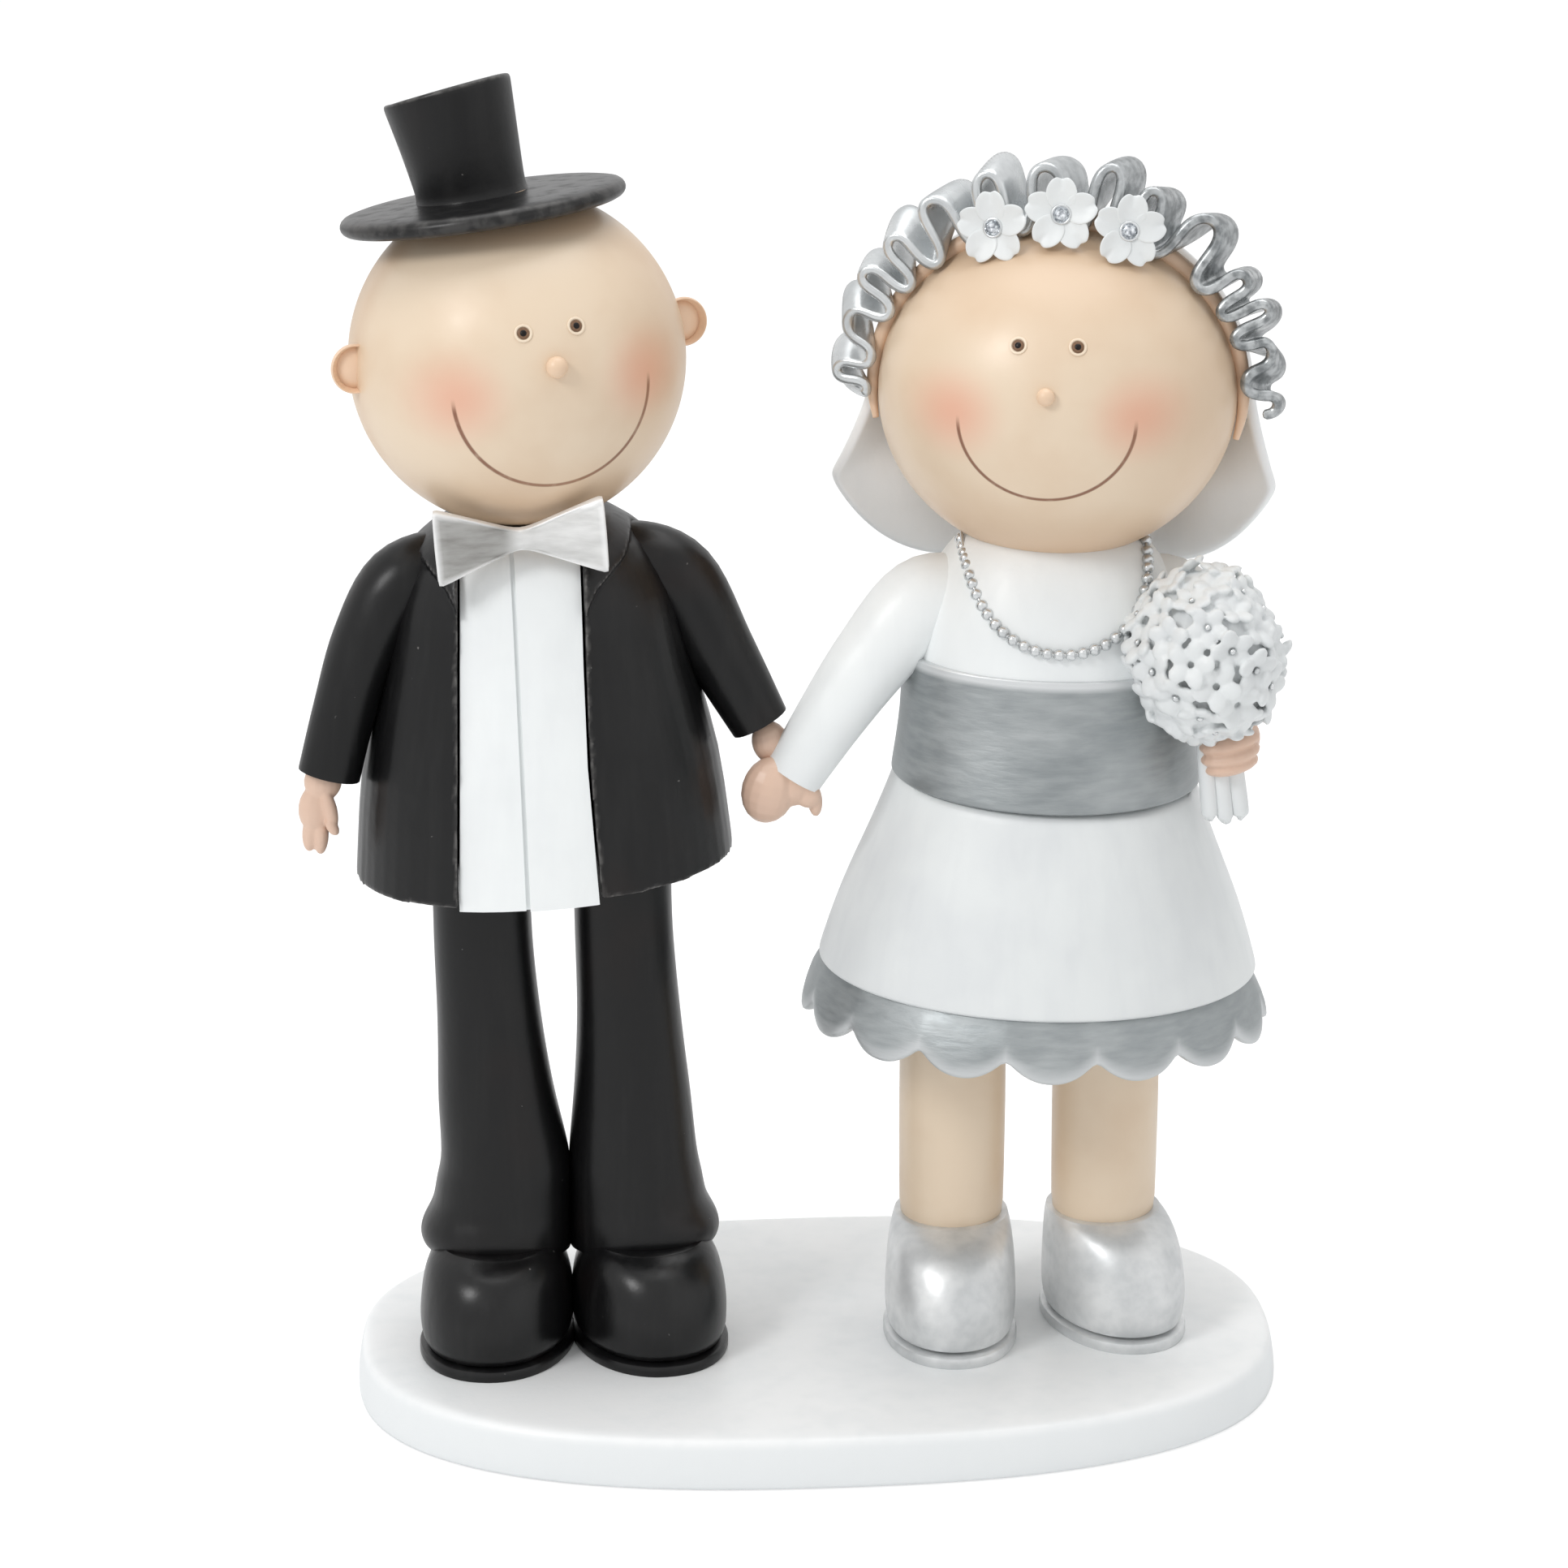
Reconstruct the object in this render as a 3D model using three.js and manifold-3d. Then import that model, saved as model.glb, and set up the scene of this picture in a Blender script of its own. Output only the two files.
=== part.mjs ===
// A hand-painted wedding couple for a cake: the groom in a black jacket and top hat, the bride in a white
// dress with a silver sash, hand in hand on one white base plate. Millimetres, +Z up, faces towards -Y.
// Left and right are the sides seen from the front.
import * as THREE from 'three';
import { mergeVertices } from 'three/addons/utils/BufferGeometryUtils.js';
import Module from 'manifold-3d';

const wasm = await Module();
wasm.setup();

// Shared joints
const glueGap = 0.3; // clearance in every glued joint
const footPegRadius = 2;
const footPegLength = 2.6;
const neckPegDepth = 7; // how far the neck reaches into the head and into the body
const neckPegRadius = 4;
const armPegRadius = 1.3;
const wristPegRadius = 1.1;
const pegSides = 6;

// Base plate
const baseHalfLength = 53;
const baseHalfDepth = 32;
const baseThickness = 6;
const baseSquareness = 2.47;
const baseEdgeRound = 1;
const baseDraft = 0.5;

// Groom, shoes and trousers
const groomX = -0.547 * baseHalfLength;
const groomLean = -0.9; // how far the jacket's top stands to the left of its hem
const soleThickness = 1.2;
const soleLip = 0.15;
const groomShoeX = 8.75; // from the plane where the legs touch
const groomShoeY = -2.9;
const groomShoeTurn = 12;
const groomShoeHalfWidth = 8.6;
const groomToeLength = 11.2;
const groomHeelLength = 12.2;
const groomShoeHeight = 12.6;
const legSeamX = 0.8; // the plane where the two trouser legs touch
const legY = 1;
const cuffZ = 10.4;
const cuffRadius = 8.45;
const calfRadius = 7.4;
const kneeRadius = 6.1;
const thighRadius = 5.5;
const calfRise = 11.5;
const kneeRise = 24;
const kneeX = 7.8;
const hipX = 7.9;
const hipShift = -0.8; // the hips stand to the left of the feet

// Groom, jacket and shirt
const jacketHemZ = 58;
const jacketHeight = 39.5;
const groomUnit = (jacketHemZ + jacketHeight) / 100; // his arms are laid out in these
const jacketHemX = -1.6;
const jacketHemHalfWidth = 21;
const jacketHemFront = 18;
const jacketHemBack = 16.5;
const jacketWaistHalfWidth = 19.7;
const jacketChestHalfWidth = 15.2;
const jacketNeckHalfWidth = 8;
const jacketHemRoll = 0.065; // the hem climbs to the right
const jacketDish = 1.8; // hollow under the hem
const trouserSeatDepth = 5; // how deep the trouser legs stand in the jacket
const jacketSides = 20;
const shirtX = -4;
const shirtTopHalfWidth = 6.35;
const shirtHemHalfWidth = 7.75;
const shirtLean = 0.35; // the hem's middle stands this far to the right
const shirtInset = 0.75; // the panel lies this far behind the jacket's front
const placketStep = 0.45;
const shirtDrop = 0.6; // the panel hangs lower than the hem
const shirtPanelDepth = 8; // the panel's back face, in front of the middle of the body
const lapelRaise = 0.8;
const collarDrop = 10;
const collarWidth = 6.4;
const tieHalfWidth = 9.2;
const tieEndHeight = 4.4;
const tieKnotHeight = 1.5;
const tieThickness = 2.4;
const tieSweep = 1.2; // the wing tips stand this far in front of the knot
const tieSeatRadius = 1.5; // the stub behind the knot that meets the chin and the collar
const tieSeatDepth = 5;
const tieRoll = 4;
const tieLift = 0.4;
const tieZ = jacketHemZ + jacketHeight + tieLift;

// Groom, head and hat
const headSides = 18;
const groomHeadRadius = 18.3;
const groomHeadX = -3.7;
const groomHeadSink = 1.2; // how far the head sinks into the collar
const groomHeadZ = jacketHemZ + jacketHeight + groomHeadRadius - groomHeadSink;
const tieY = -0.715 * groomHeadRadius;
const groomHeadTurn = 12.2;
const groomHeadRoll = 4.5;
const earHalfHeight = 3;
const earLift = 5.8;
const earTurn = 83; // round the head from the face
const noseRadius = 1.25;
const groomNoseLift = 8.5;
const hatSeat = 15.6; // from the head's middle to the underside of the brim
const hatOffset = -1.1;
const hatRoll = 2.4;
const hatPitch = 5.5;
const brimRadius = 15.6;
const brimThickness = 2.1;
const crownOffset = -0.6;
const crownBack = 1.6; // the crown stands behind the middle of the brim
const crownFootRadius = 5.9;
const crownTopRadius = 7;
const crownHeight = 12;
const crownLean = 1;
const crownTopRoll = 0.09;
const hatPegRadius = 2.4;
const hatPegLength = 3;

// Bride, shoes and legs
const brideX = 0.472 * baseHalfLength;
const betweenUnit = (brideX - groomX) / 100; // the joined arms reach across in these
const brideShoeHalfWidth = 7.5;
const brideToeLength = 11.2;
const brideHeelLength = 10.4;
const brideShoeHeight = 13.6;
const brideLeftShoeY = -3.4;
const brideRightShoeY = -1.2;
const brideLegSpread = 8.8;
const brideLegShift = -0.7; // both legs stand a little to the left of the dress
const brideLegRadius = 6.1;
const brideLegY = 0.2;
const ankleSeat = 2.2; // how deep the legs stand in the shoes

// Bride, dress
const skirtHemZ = 44;
const flounceDrop = 6.4; // from the skirt's hem down to the tips
const flounceTipZ = skirtHemZ - flounceDrop;
const flounceHalfWidth = 25.9;
const flounceHalfDepth = 23;
const scallopCount = 16;
const scallopDepth = 2.4;
const scallopBulge = 0.7;
const scallopShift = 0.4; // of one scallop, round the hem
const flounceThickness = 1.6;
const flounceDish = 1.6;
const skirtHeight = 22.6;
const skirtHemHalfWidth = 24.7;
const skirtHemHalfDepth = 21.6;
const skirtHipHalfWidth = 23.4;
const skirtRimThickness = 1.3;
const skirtSides = 28;
const flounceSeatHeight = 2.4;
const skirtRoll = -0.035;
const sashZ = skirtHemZ + skirtHeight;
const sashHeight = 13.8;
const sashFootHalfWidth = 16.9;
const sashFootHalfDepth = 16.6;
const sashTopHalfWidth = 16.3;
const sashTopHalfDepth = 13.2;
const sashRaise = 0.35;
const bodiceHeight = 15.4;
const bodiceZ = sashZ + sashHeight + glueGap;
const brideUnit = (bodiceZ + bodiceHeight) / 100; // her arms and bouquet are laid out in these
const bodiceShoulderHalfWidth = 12.6;
const bodiceSquareness = 2.1;
const dressLean = 0.9;
const dressX = -0.1;
const waistPegRadius = 6;
const waistPegLength = 2.5;
const beadRadius = 0.7;
const beadPitch = 1.34;
const necklaceHalfWidth = 10.6;
const necklaceDrop = 11.4;

// Bride, head, hair garland, veil and flowers
const brideHeadHalfWidth = 20.1;
const brideHeadHalfDepth = 18.5;
const brideHeadHalfHeight = 18.4;
const brideHeadX = 1.2;
const brideHeadSink = 4.5;
const brideHeadZ = bodiceZ + bodiceHeight + brideHeadHalfHeight - brideHeadSink;
const brideHeadTurn = -11.7;
const brideNoseLift = 10.7;
const garlandLeftEnd = -93;
const garlandRightEnd = 96;
const garlandWaves = 14;
const garlandShift = -0.85; // its outer edge leans to the left
const garlandSideHeight = 2.9;
const garlandTopHeight = 6.2;
const garlandSwing = 2.6;
const garlandCurl = 0.4;
const garlandNotch = 0.18; // how much the lobes vary in reach
const garlandThickness = 1.1;
const flowerRadius = 3.7;
const flowerSpacing = 7.2;
const flowerThickness = 1.3;
const flowerX = 0.5; // the middle flower stands to the right of the head's middle
const flowerY = -6.4;
const flowerPitch = -12;
const stoneRadius = 0.85;
const veilHalfWidth = 24.9;
const veilBackDepth = 21.5;
const veilTipY = 5.5; // behind the middle of the head
const veilTopZ = 16; // above the middle of the head
const veilCornerZ = -11.5;
const veilBackZ = -22.5;
const veilCornerPower = 4.5; // a higher power gives the foot squarer corners
const veilFolds = 3;
const veilFoldDepth = 1.2;
const veilThickness = 1.5;
const veilClearance = 1.4; // from the head to the middle of the veil
const veilFlareDrop = 12; // below the middle of the head, where the flare is full

// Bouquet
const bouquetX = 16.7 * brideUnit;
const bouquetY = -13.1 * brideUnit;
const bouquetZ = 86.6 * brideUnit;
const bouquetHalfWidth = 7.7;
const bouquetHalfHeight = 9.5;
const blossomRadius = 3.9;
const blossomThickness = 1.6;
const blossomCount = 13;
const blossomBackLimit = 0.4;
const stemRadius = 0.95;
const stemSpacing = 1.5;
const stemLength = 9.9;

const degree = Math.PI / 180;
const rowKeys = ['z', 'x', 'y', 'half', 'front', 'back', 'roll', 'pitch'];

// Rows of a body from foot to top, blended smoothly through the few that are given
function blendRows(rows, perSpan) {
  const level = { x: 0, y: 0, roll: 0, pitch: 0 };
  const whole = rows.map((row) => ({ ...level, front: row.half, back: row.half, ...row }));
  const times = whole.map((row, place) => place);
  const values = whole.flatMap((row) => rowKeys.map((key) => row[key]));
  const curve = new THREE.CubicInterpolant(times, values, rowKeys.length);
  const blended = [];
  for (let step = 0; step <= (rows.length - 1) * perSpan; step += 1) {
    const found = curve.evaluate(step / perSpan);
    blended.push(Object.fromEntries(rowKeys.map((key, place) => [key, found[place]])));
  }
  return blended;
}

// One oval ring of points; power 2 is an ellipse and a higher power is squarer
function ovalRing(row, sides, power) {
  const ring = [];
  for (let side = 0; side < sides; side += 1) {
    const angle = (2 * Math.PI * side) / sides;
    const across = Math.sign(Math.cos(angle)) * Math.abs(Math.cos(angle)) ** (2 / power);
    const along = Math.sign(Math.sin(angle)) * Math.abs(Math.sin(angle)) ** (2 / power);
    const x = row.half * across;
    const y = (along < 0 ? row.front : row.back) * along;
    ring.push(new THREE.Vector3(row.x + x, row.y + y, row.z + row.roll * x + row.pitch * y));
  }
  return ring;
}

// A closed skin over rings of equal count, with a fan over each end
function skin(rings) {
  const sides = rings[0].length;
  const points = rings.flat();
  const index = [];
  for (let row = 0; row < rings.length - 1; row += 1) {
    for (let side = 0; side < sides; side += 1) {
      const here = row * sides + side;
      const next = row * sides + ((side + 1) % sides);
      index.push(here, next, next + sides, here, next + sides, here + sides);
    }
  }
  [rings[0], rings[rings.length - 1]].forEach((ring, end) => {
    const centre = ring.reduce((sum, point) => sum.add(point), new THREE.Vector3()).divideScalar(sides);
    const first = end * (rings.length - 1) * sides;
    for (let side = 0; side < sides; side += 1) {
      const pair = [first + side, first + ((side + 1) % sides)];
      index.push(points.length, ...(end ? pair : pair.reverse()));
    }
    points.push(centre);
  });
  return new THREE.BufferGeometry().setFromPoints(points).setIndex(index);
}

// A body lofted through oval rows; grow makes it larger all round, for the seat that it needs
function loft(rows, { sides = 16, power = 2, perSpan = 1, grow = 0 } = {}) {
  const blended = blendRows(rows, perSpan);
  blended.forEach((row) => {
    row.half += grow;
    row.front += grow;
    row.back += grow;
  });
  blended[0].z -= grow;
  blended[blended.length - 1].z += grow;
  return skin(blended.map((row) => ovalRing(row, sides, power)));
}

// How far in front of the middle a lofted body's surface lies, at one place seen from the front
function frontOf(rows, x, z, power = 2) {
  const blended = blendRows(rows, 8);
  const row = blended.find((candidate) => candidate.z >= z) ?? blended[blended.length - 1];
  const share = Math.min(1, Math.abs(x - row.x) / row.half);
  return row.y - row.front * (1 - share ** power) ** (1 / power);
}

// A round limb along a smooth path; stops are [x, y, z, radius]
function limb(stops, { sides = 10, perSpan = 2, grow = 0 } = {}) {
  const times = stops.map((stop, place) => place);
  const curve = new THREE.CubicInterpolant(times, stops.flat(), 4);
  const count = (stops.length - 1) * perSpan;
  const samples = [];
  for (let step = 0; step <= count; step += 1) {
    const [x, y, z, radius] = curve.evaluate(step / perSpan);
    samples.push({ centre: new THREE.Vector3(x, y, z), radius: radius + grow });
  }
  const rings = samples.map(({ centre, radius }, place) => {
    const before = samples[Math.max(0, place - 1)].centre;
    const after = samples[Math.min(count, place + 1)].centre;
    const ahead = after.clone().sub(before).normalize();
    const side = new THREE.Vector3(0, 1, 0).cross(ahead).normalize();
    const front = ahead.clone().cross(side);
    const end = place === 0 ? -1 : 1;
    const shift = place === 0 || place === count ? end * grow : 0;
    const ring = [];
    for (let turn = 0; turn < sides; turn += 1) {
      const angle = (2 * Math.PI * turn) / sides;
      ring.push(centre.clone().addScaledVector(ahead, shift)
        .addScaledVector(side, radius * Math.cos(angle))
        .addScaledVector(front, radius * Math.sin(angle)));
    }
    return ring;
  });
  return skin(rings);
}

// A sheet of even thickness over a grid of points, closed round its border
function sheet(grid, thickness) {
  const rows = grid.length;
  const columns = grid[0].length;
  const points = [];
  [-1, 1].forEach((face) => {
    grid.forEach((line, r) => line.forEach((point, c) => {
      const along = grid[Math.min(rows - 1, r + 1)][c].clone().sub(grid[Math.max(0, r - 1)][c]);
      const across = line[Math.min(columns - 1, c + 1)].clone().sub(line[Math.max(0, c - 1)]);
      const normal = along.cross(across).normalize();
      points.push(point.clone().addScaledVector(normal, (face * thickness) / 2));
    }));
  });
  const index = [];
  const quad = (a, b, c, d) => index.push(a, b, c, a, c, d);
  const back = rows * columns;
  for (let r = 0; r < rows - 1; r += 1) {
    for (let c = 0; c < columns - 1; c += 1) {
      const here = r * columns + c;
      quad(back + here, back + here + columns, back + here + columns + 1, back + here + 1);
      quad(here, here + 1, here + columns + 1, here + columns);
    }
  }
  const border = [];
  for (let c = 0; c < columns - 1; c += 1) border.push(c);
  for (let r = 0; r < rows - 1; r += 1) border.push(r * columns + columns - 1);
  for (let c = columns - 1; c > 0; c -= 1) border.push((rows - 1) * columns + c);
  for (let r = rows - 1; r > 0; r -= 1) border.push(r * columns);
  border.forEach((here, place) => {
    const next = border[(place + 1) % border.length];
    quad(next, here, back + here, back + next);
  });
  return new THREE.BufferGeometry().setFromPoints(points).setIndex(index);
}

// A ball or an egg, with its half sizes along x, y and z
function ball(halfX, halfY, halfZ, { around = 8, grow = 0 } = {}) {
  const geometry = new THREE.SphereGeometry(1, around, Math.round(around * 0.6));
  geometry.rotateX(Math.PI / 2);
  return geometry.scale(halfX + grow, halfY + grow, halfZ + grow);
}

// A round peg from one point to another
function peg(from, to, radius, grow = 0, sides = pegSides) {
  const start = new THREE.Vector3(...from);
  const end = new THREE.Vector3(...to);
  const ahead = end.clone().sub(start);
  const length = ahead.length() + 2 * grow;
  const geometry = new THREE.CylinderGeometry(radius + grow, radius + grow, length, sides);
  const turn = new THREE.Quaternion().setFromUnitVectors(new THREE.Vector3(0, 1, 0), ahead.normalize());
  geometry.applyQuaternion(turn);
  const middle = start.add(end).divideScalar(2);
  return geometry.translate(middle.x, middle.y, middle.z);
}

// A closed geometry as a solid that can be cut and joined
function solid(geometry) {
  const bare = geometry.clone();
  bare.deleteAttribute('normal');
  bare.deleteAttribute('uv');
  const merged = mergeVertices(bare, 1e-4);
  const place = merged.attributes.position;
  const corners = [];
  let volume = 0;
  for (let at = 0; at < merged.index.count; at += 3) {
    const [a, b, c] = [0, 1, 2].map((step) => merged.index.getX(at + step));
    if (a !== b && b !== c && c !== a) {
      corners.push(a, b, c);
      const [first, second, third] = [a, b, c].map((v) => new THREE.Vector3().fromBufferAttribute(place, v));
      volume += first.dot(second.cross(third));
    }
  }
  if (volume < 0) corners.reverse();
  return new wasm.Manifold(new wasm.Mesh({
    numProp: 3,
    vertProperties: new Float32Array(place.array),
    triVerts: new Uint32Array(corners),
  }));
}

const joined = (pieces) => pieces.reduce((sum, piece) => sum.add(piece));
const cutBy = (piece, tools) => tools.reduce((rest, tool) => rest.subtract(tool), piece);

function paint(color, roughness, metalness = 0) {
  return new THREE.MeshStandardMaterial({ color, roughness, metalness });
}

const whitePaint = 0xeceeee;
const blackPaint = 0x242424;
const skinPaint = 0xe2c3a3;
const silverPaint = 0xaeb2b5;
const stonePaint = 0xdfe6ec;

function add(group, name, piece, color, roughness = 0.5, metalness = 0) {
  const body = piece.getMesh();
  const geometry = new THREE.BufferGeometry();
  geometry.setAttribute('position', new THREE.BufferAttribute(body.vertProperties, 3));
  geometry.setIndex(new THREE.BufferAttribute(body.triVerts, 1));
  geometry.computeVertexNormals();
  const mesh = new THREE.Mesh(geometry, paint(color, roughness, metalness));
  mesh.name = name;
  group.add(mesh);
}

const group = new THREE.Group();
const groom = new THREE.Group();
groom.position.set(groomX, 0, baseThickness);
const bride = new THREE.Group();
bride.position.set(brideX, 0, baseThickness);
group.add(groom, bride);

// Feet: where each shoe stands, how it turns and which figure it belongs to
const groomFeet = [
  { side: 'left', x: legSeamX - groomShoeX, y: groomShoeY, turn: -groomShoeTurn },
  { side: 'right', x: legSeamX + groomShoeX, y: groomShoeY, turn: groomShoeTurn },
];
const brideFeet = [
  { side: 'left', x: -brideLegSpread * 1.13, y: brideLeftShoeY, turn: -2 },
  { side: 'right', x: brideLegSpread * 1.03, y: brideRightShoeY, turn: 17 },
];

// Shoe outlines in their own frame: the widest place is at the origin and the toe points to -Y
function shoeRows(halfWidth, toe, heel, height, openTop) {
  const foot = soleThickness + glueGap;
  const rise = height - foot;
  const top = openTop
    ? { instep: 0.96, front: 0.77, half: 0.9, toe: 0.3, heel: 0.94 }
    : { instep: 0.84, front: 0.72, half: 0.6, toe: 0.34, heel: 0.8 };
  return [
    { z: foot, half: halfWidth * 0.95, front: toe * 0.96, back: heel * 0.97 },
    { z: foot + rise * 0.2, half: halfWidth, front: toe, back: heel },
    { z: foot + rise * 0.5, half: halfWidth * 0.98, front: toe * 0.95, back: heel },
    { z: foot + rise * 0.78, half: halfWidth * top.instep, front: toe * top.front, back: heel * 0.97 },
    { z: height, half: halfWidth * top.half, front: toe * top.toe, back: heel * top.heel },
  ];
}

function atFoot(geometry, foot) {
  return geometry.rotateZ(foot.turn * degree).translate(foot.x, foot.y, 0);
}

function sole(foot, halfWidth, toe, heel) {
  const plan = { half: halfWidth + soleLip, front: toe + soleLip, back: heel + soleLip };
  const rim = soleLip / 2;
  const rows = [
    { z: 0, ...plan },
    { z: soleThickness * 0.7, ...plan },
    { z: soleThickness, half: plan.half - rim, front: plan.front - rim, back: plan.back - rim },
  ];
  const plate = solid(atFoot(loft(rows, { power: 2.2 }), foot));
  const foothold = peg([foot.x, foot.y, -footPegLength], [foot.x, foot.y, soleThickness / 2], footPegRadius);
  return plate.add(solid(foothold));
}

// Trouser legs: side is -1 for the left leg and 1 for the right
function trouserLeg(side, grow = 0) {
  const touching = (radius) => legSeamX + side * (radius + glueGap / 2);
  const hip = hipShift + side * hipX;
  const jacketSeat = jacketHemZ + trouserSeatDepth;
  const pitch = -0.15; // the cuff is longer at the heel
  const rows = [
    { z: cuffZ - glueGap, half: cuffRadius * 0.94, x: touching(cuffRadius), pitch },
    { z: cuffZ + calfRise * 0.09, half: cuffRadius, x: touching(cuffRadius), pitch },
    { z: cuffZ + calfRise * 0.35, half: cuffRadius * 0.97, x: touching(cuffRadius * 0.97), pitch: pitch / 2 },
    { z: cuffZ + calfRise, half: calfRadius, x: touching(calfRadius) },
    { z: cuffZ + kneeRise, half: kneeRadius, x: side * kneeX },
    { z: jacketHemZ - trouserSeatDepth * 1.4, half: thighRadius, x: hip },
    { z: jacketSeat, half: thighRadius, x: hip },
  ];
  return loft(rows.map((row) => ({ y: legY, ...row })), { power: 2.2, grow });
}

// The jacket's body, from hem to neck; lower lets the shirt hang below the hem
function jacketRows(lower = 0) {
  const up = (share) => jacketHemZ + jacketHeight * share;
  const lean = (share) => jacketHemX + groomLean * share;
  const roll = jacketHemRoll;
  const depths = (share) => ({ front: jacketHemFront * share, back: jacketHemBack * (share - 0.02) });
  return [
    { z: up(0) - lower, half: jacketHemHalfWidth, front: jacketHemFront, back: jacketHemBack, roll },
    { z: up(0.3), half: jacketWaistHalfWidth, ...depths(0.94), roll: roll / 2 },
    { z: up(0.6), half: jacketWaistHalfWidth * 0.86, ...depths(0.83) },
    { z: up(0.8), half: jacketChestHalfWidth, ...depths(0.75) },
    { z: up(0.93), half: jacketChestHalfWidth * 0.79, ...depths(0.63) },
    { z: up(1), half: jacketNeckHalfWidth, ...depths(0.465) },
  ].map((row) => ({ x: lean((row.z - jacketHemZ) / jacketHeight), ...row }));
}

function jacketForm(grow = 0, lower = 0) {
  return loft(jacketRows(lower), { sides: jacketSides, power: 2.15, grow });
}

const openingOverrun = jacketHeight * 0.08; // cuts run this far past the hem and the neck

// The opening that the shirt panel fills, as an upright wedge from the hem to the neck
function frontOpening(grow = 0) {
  const foot = jacketHemZ - openingOverrun;
  const head = jacketHemZ + jacketHeight + openingOverrun;
  const outline = new THREE.Shape([
    new THREE.Vector2(shirtLean - shirtHemHalfWidth - grow, foot),
    new THREE.Vector2(shirtLean + shirtHemHalfWidth + grow, foot),
    new THREE.Vector2(shirtTopHalfWidth + grow, head),
    new THREE.Vector2(-shirtTopHalfWidth - grow, head),
  ]);
  const slab = new THREE.ExtrudeGeometry(outline, { depth: jacketHemFront, bevelEnabled: false });
  return slab.rotateX(Math.PI / 2).translate(shirtX, grow - shirtPanelDepth, 0);
}

// The right half of the shirt panel lies over the left half
function placketSide() {
  const outline = new THREE.Shape([
    new THREE.Vector2(placketStep, jacketHemZ - openingOverrun),
    new THREE.Vector2(jacketHemHalfWidth, jacketHemZ - openingOverrun),
    new THREE.Vector2(jacketHemHalfWidth, jacketHemZ + jacketHeight + openingOverrun),
    new THREE.Vector2(-2 * placketStep, jacketHemZ + jacketHeight + openingOverrun),
  ]);
  const slab = new THREE.ExtrudeGeometry(outline, { depth: 3 * jacketHemFront, bevelEnabled: false });
  return slab.rotateX(Math.PI / 2).translate(shirtX, jacketHemFront, 0);
}

// The turned collar: a flap beside the opening on each side, and a band round the back of the neck
function collarOutline(side) {
  const across = (share) => side * (shirtTopHalfWidth + collarWidth * share);
  const up = (share) => jacketHemZ + jacketHeight + collarDrop * share;
  const outline = new THREE.Shape();
  outline.moveTo(across(0.02), up(-1));
  outline.quadraticCurveTo(across(0.17), up(-0.6), across(0.48), up(-0.46));
  outline.quadraticCurveTo(across(0.95), up(-0.26), across(1.02), up(0.15));
  outline.lineTo(across(-0.78), up(0.15));
  outline.lineTo(across(0.02), up(-0.2));
  const flap = new THREE.ExtrudeGeometry(outline, {
    depth: jacketHemFront * 1.3,
    bevelEnabled: false,
    curveSegments: 3,
  });
  return flap.rotateX(Math.PI / 2).translate(shirtX, 0, 0);
}

function collar() {
  const raised = solid(jacketForm(lapelRaise));
  const deep = jacketHemBack * 1.4;
  const band = new THREE.BoxGeometry(2 * jacketHemHalfWidth, deep, collarDrop * 0.6)
    .translate(shirtX, deep / 2 - glueGap, jacketHemZ + jacketHeight);
  const outlines = joined([solid(collarOutline(-1)), solid(collarOutline(1)), solid(band)]);
  return raised.intersect(outlines);
}

// Arm tables are in hundredths of the neck's height above the base, and a joined arm's x in hundredths
// of the way between the figures; an angle, if any, comes seventh
function inUnits(table, unit, joinedSide) {
  return Object.fromEntries(Object.entries(table).map(([side, rows]) => {
    const units = Array(6).fill(unit);
    if (side === joinedSide) units[0] = betweenUnit;
    return [side, rows.map((row) => row.map((value, place) => value * (units[place] ?? 1)))];
  }));
}

// Sleeves: stops run from inside the shoulder to the cuff
const groomSleeves = inUnits({
  left: [[-11.8, -1, 94, 4.3], [-17.2, -2.5, 92.4, 4.5], [-21.2, -3.6, 86.2, 4], [-23.9, -4.5, 78.6, 3.6],
    [-25.8, -5.1, 71.2, 3.5]],
  right: [[15.9, -0.8, 94.2, 4.6], [24.8, -1.4, 92, 4.7], [33, -2.3, 84, 4.1], [41.3, -3.1, 75.5, 3.4]],
}, groomUnit, 'right');
const brideSleeves = inUnits({
  left: [[-16.7, -0.5, 90.1, 4.8], [-25.6, -1.7, 90.1, 5.1], [-35.6, -3.1, 84.1, 4.7],
    [-44.1, -4.2, 77.6, 4.1], [-52.2, -4.8, 70.6, 3.4]],
  right: [[10, -0.5, 89.9, 4.8], [15.2, -0.8, 89.3, 4.9], [18.9, -2.7, 83.2, 4.3], [20.2, -7.5, 77.2, 3.4]],
}, brideUnit, 'left');

// A wrist peg stands in the last stretch of a sleeve
function cuffPeg(stops, grow = 0) {
  const end = new THREE.Vector3(...stops[stops.length - 1]);
  const before = new THREE.Vector3(...stops[stops.length - 2]);
  const inside = end.clone().lerp(before, 0.4);
  const outside = end.clone().lerp(before, -0.28);
  return peg(inside.toArray(), outside.toArray(), wristPegRadius, grow);
}

// A shoulder peg runs from the sleeve into the body
function shoulderPeg(stops, grow = 0) {
  const side = Math.sign(stops[0][0]);
  const [x, y, z] = stops[1];
  const height = z - armPegRadius * 0.8;
  const outer = x + side * armPegRadius * 2;
  const inner = x - side * armPegRadius * 6;
  return peg([outer, y, height], [inner, y, height], armPegRadius, grow);
}

function neckPost(x, headFoot, grow = 0) {
  return peg([x, 0, headFoot - neckPegDepth], [x, 0, headFoot + neckPegDepth], neckPegRadius, grow);
}

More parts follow.
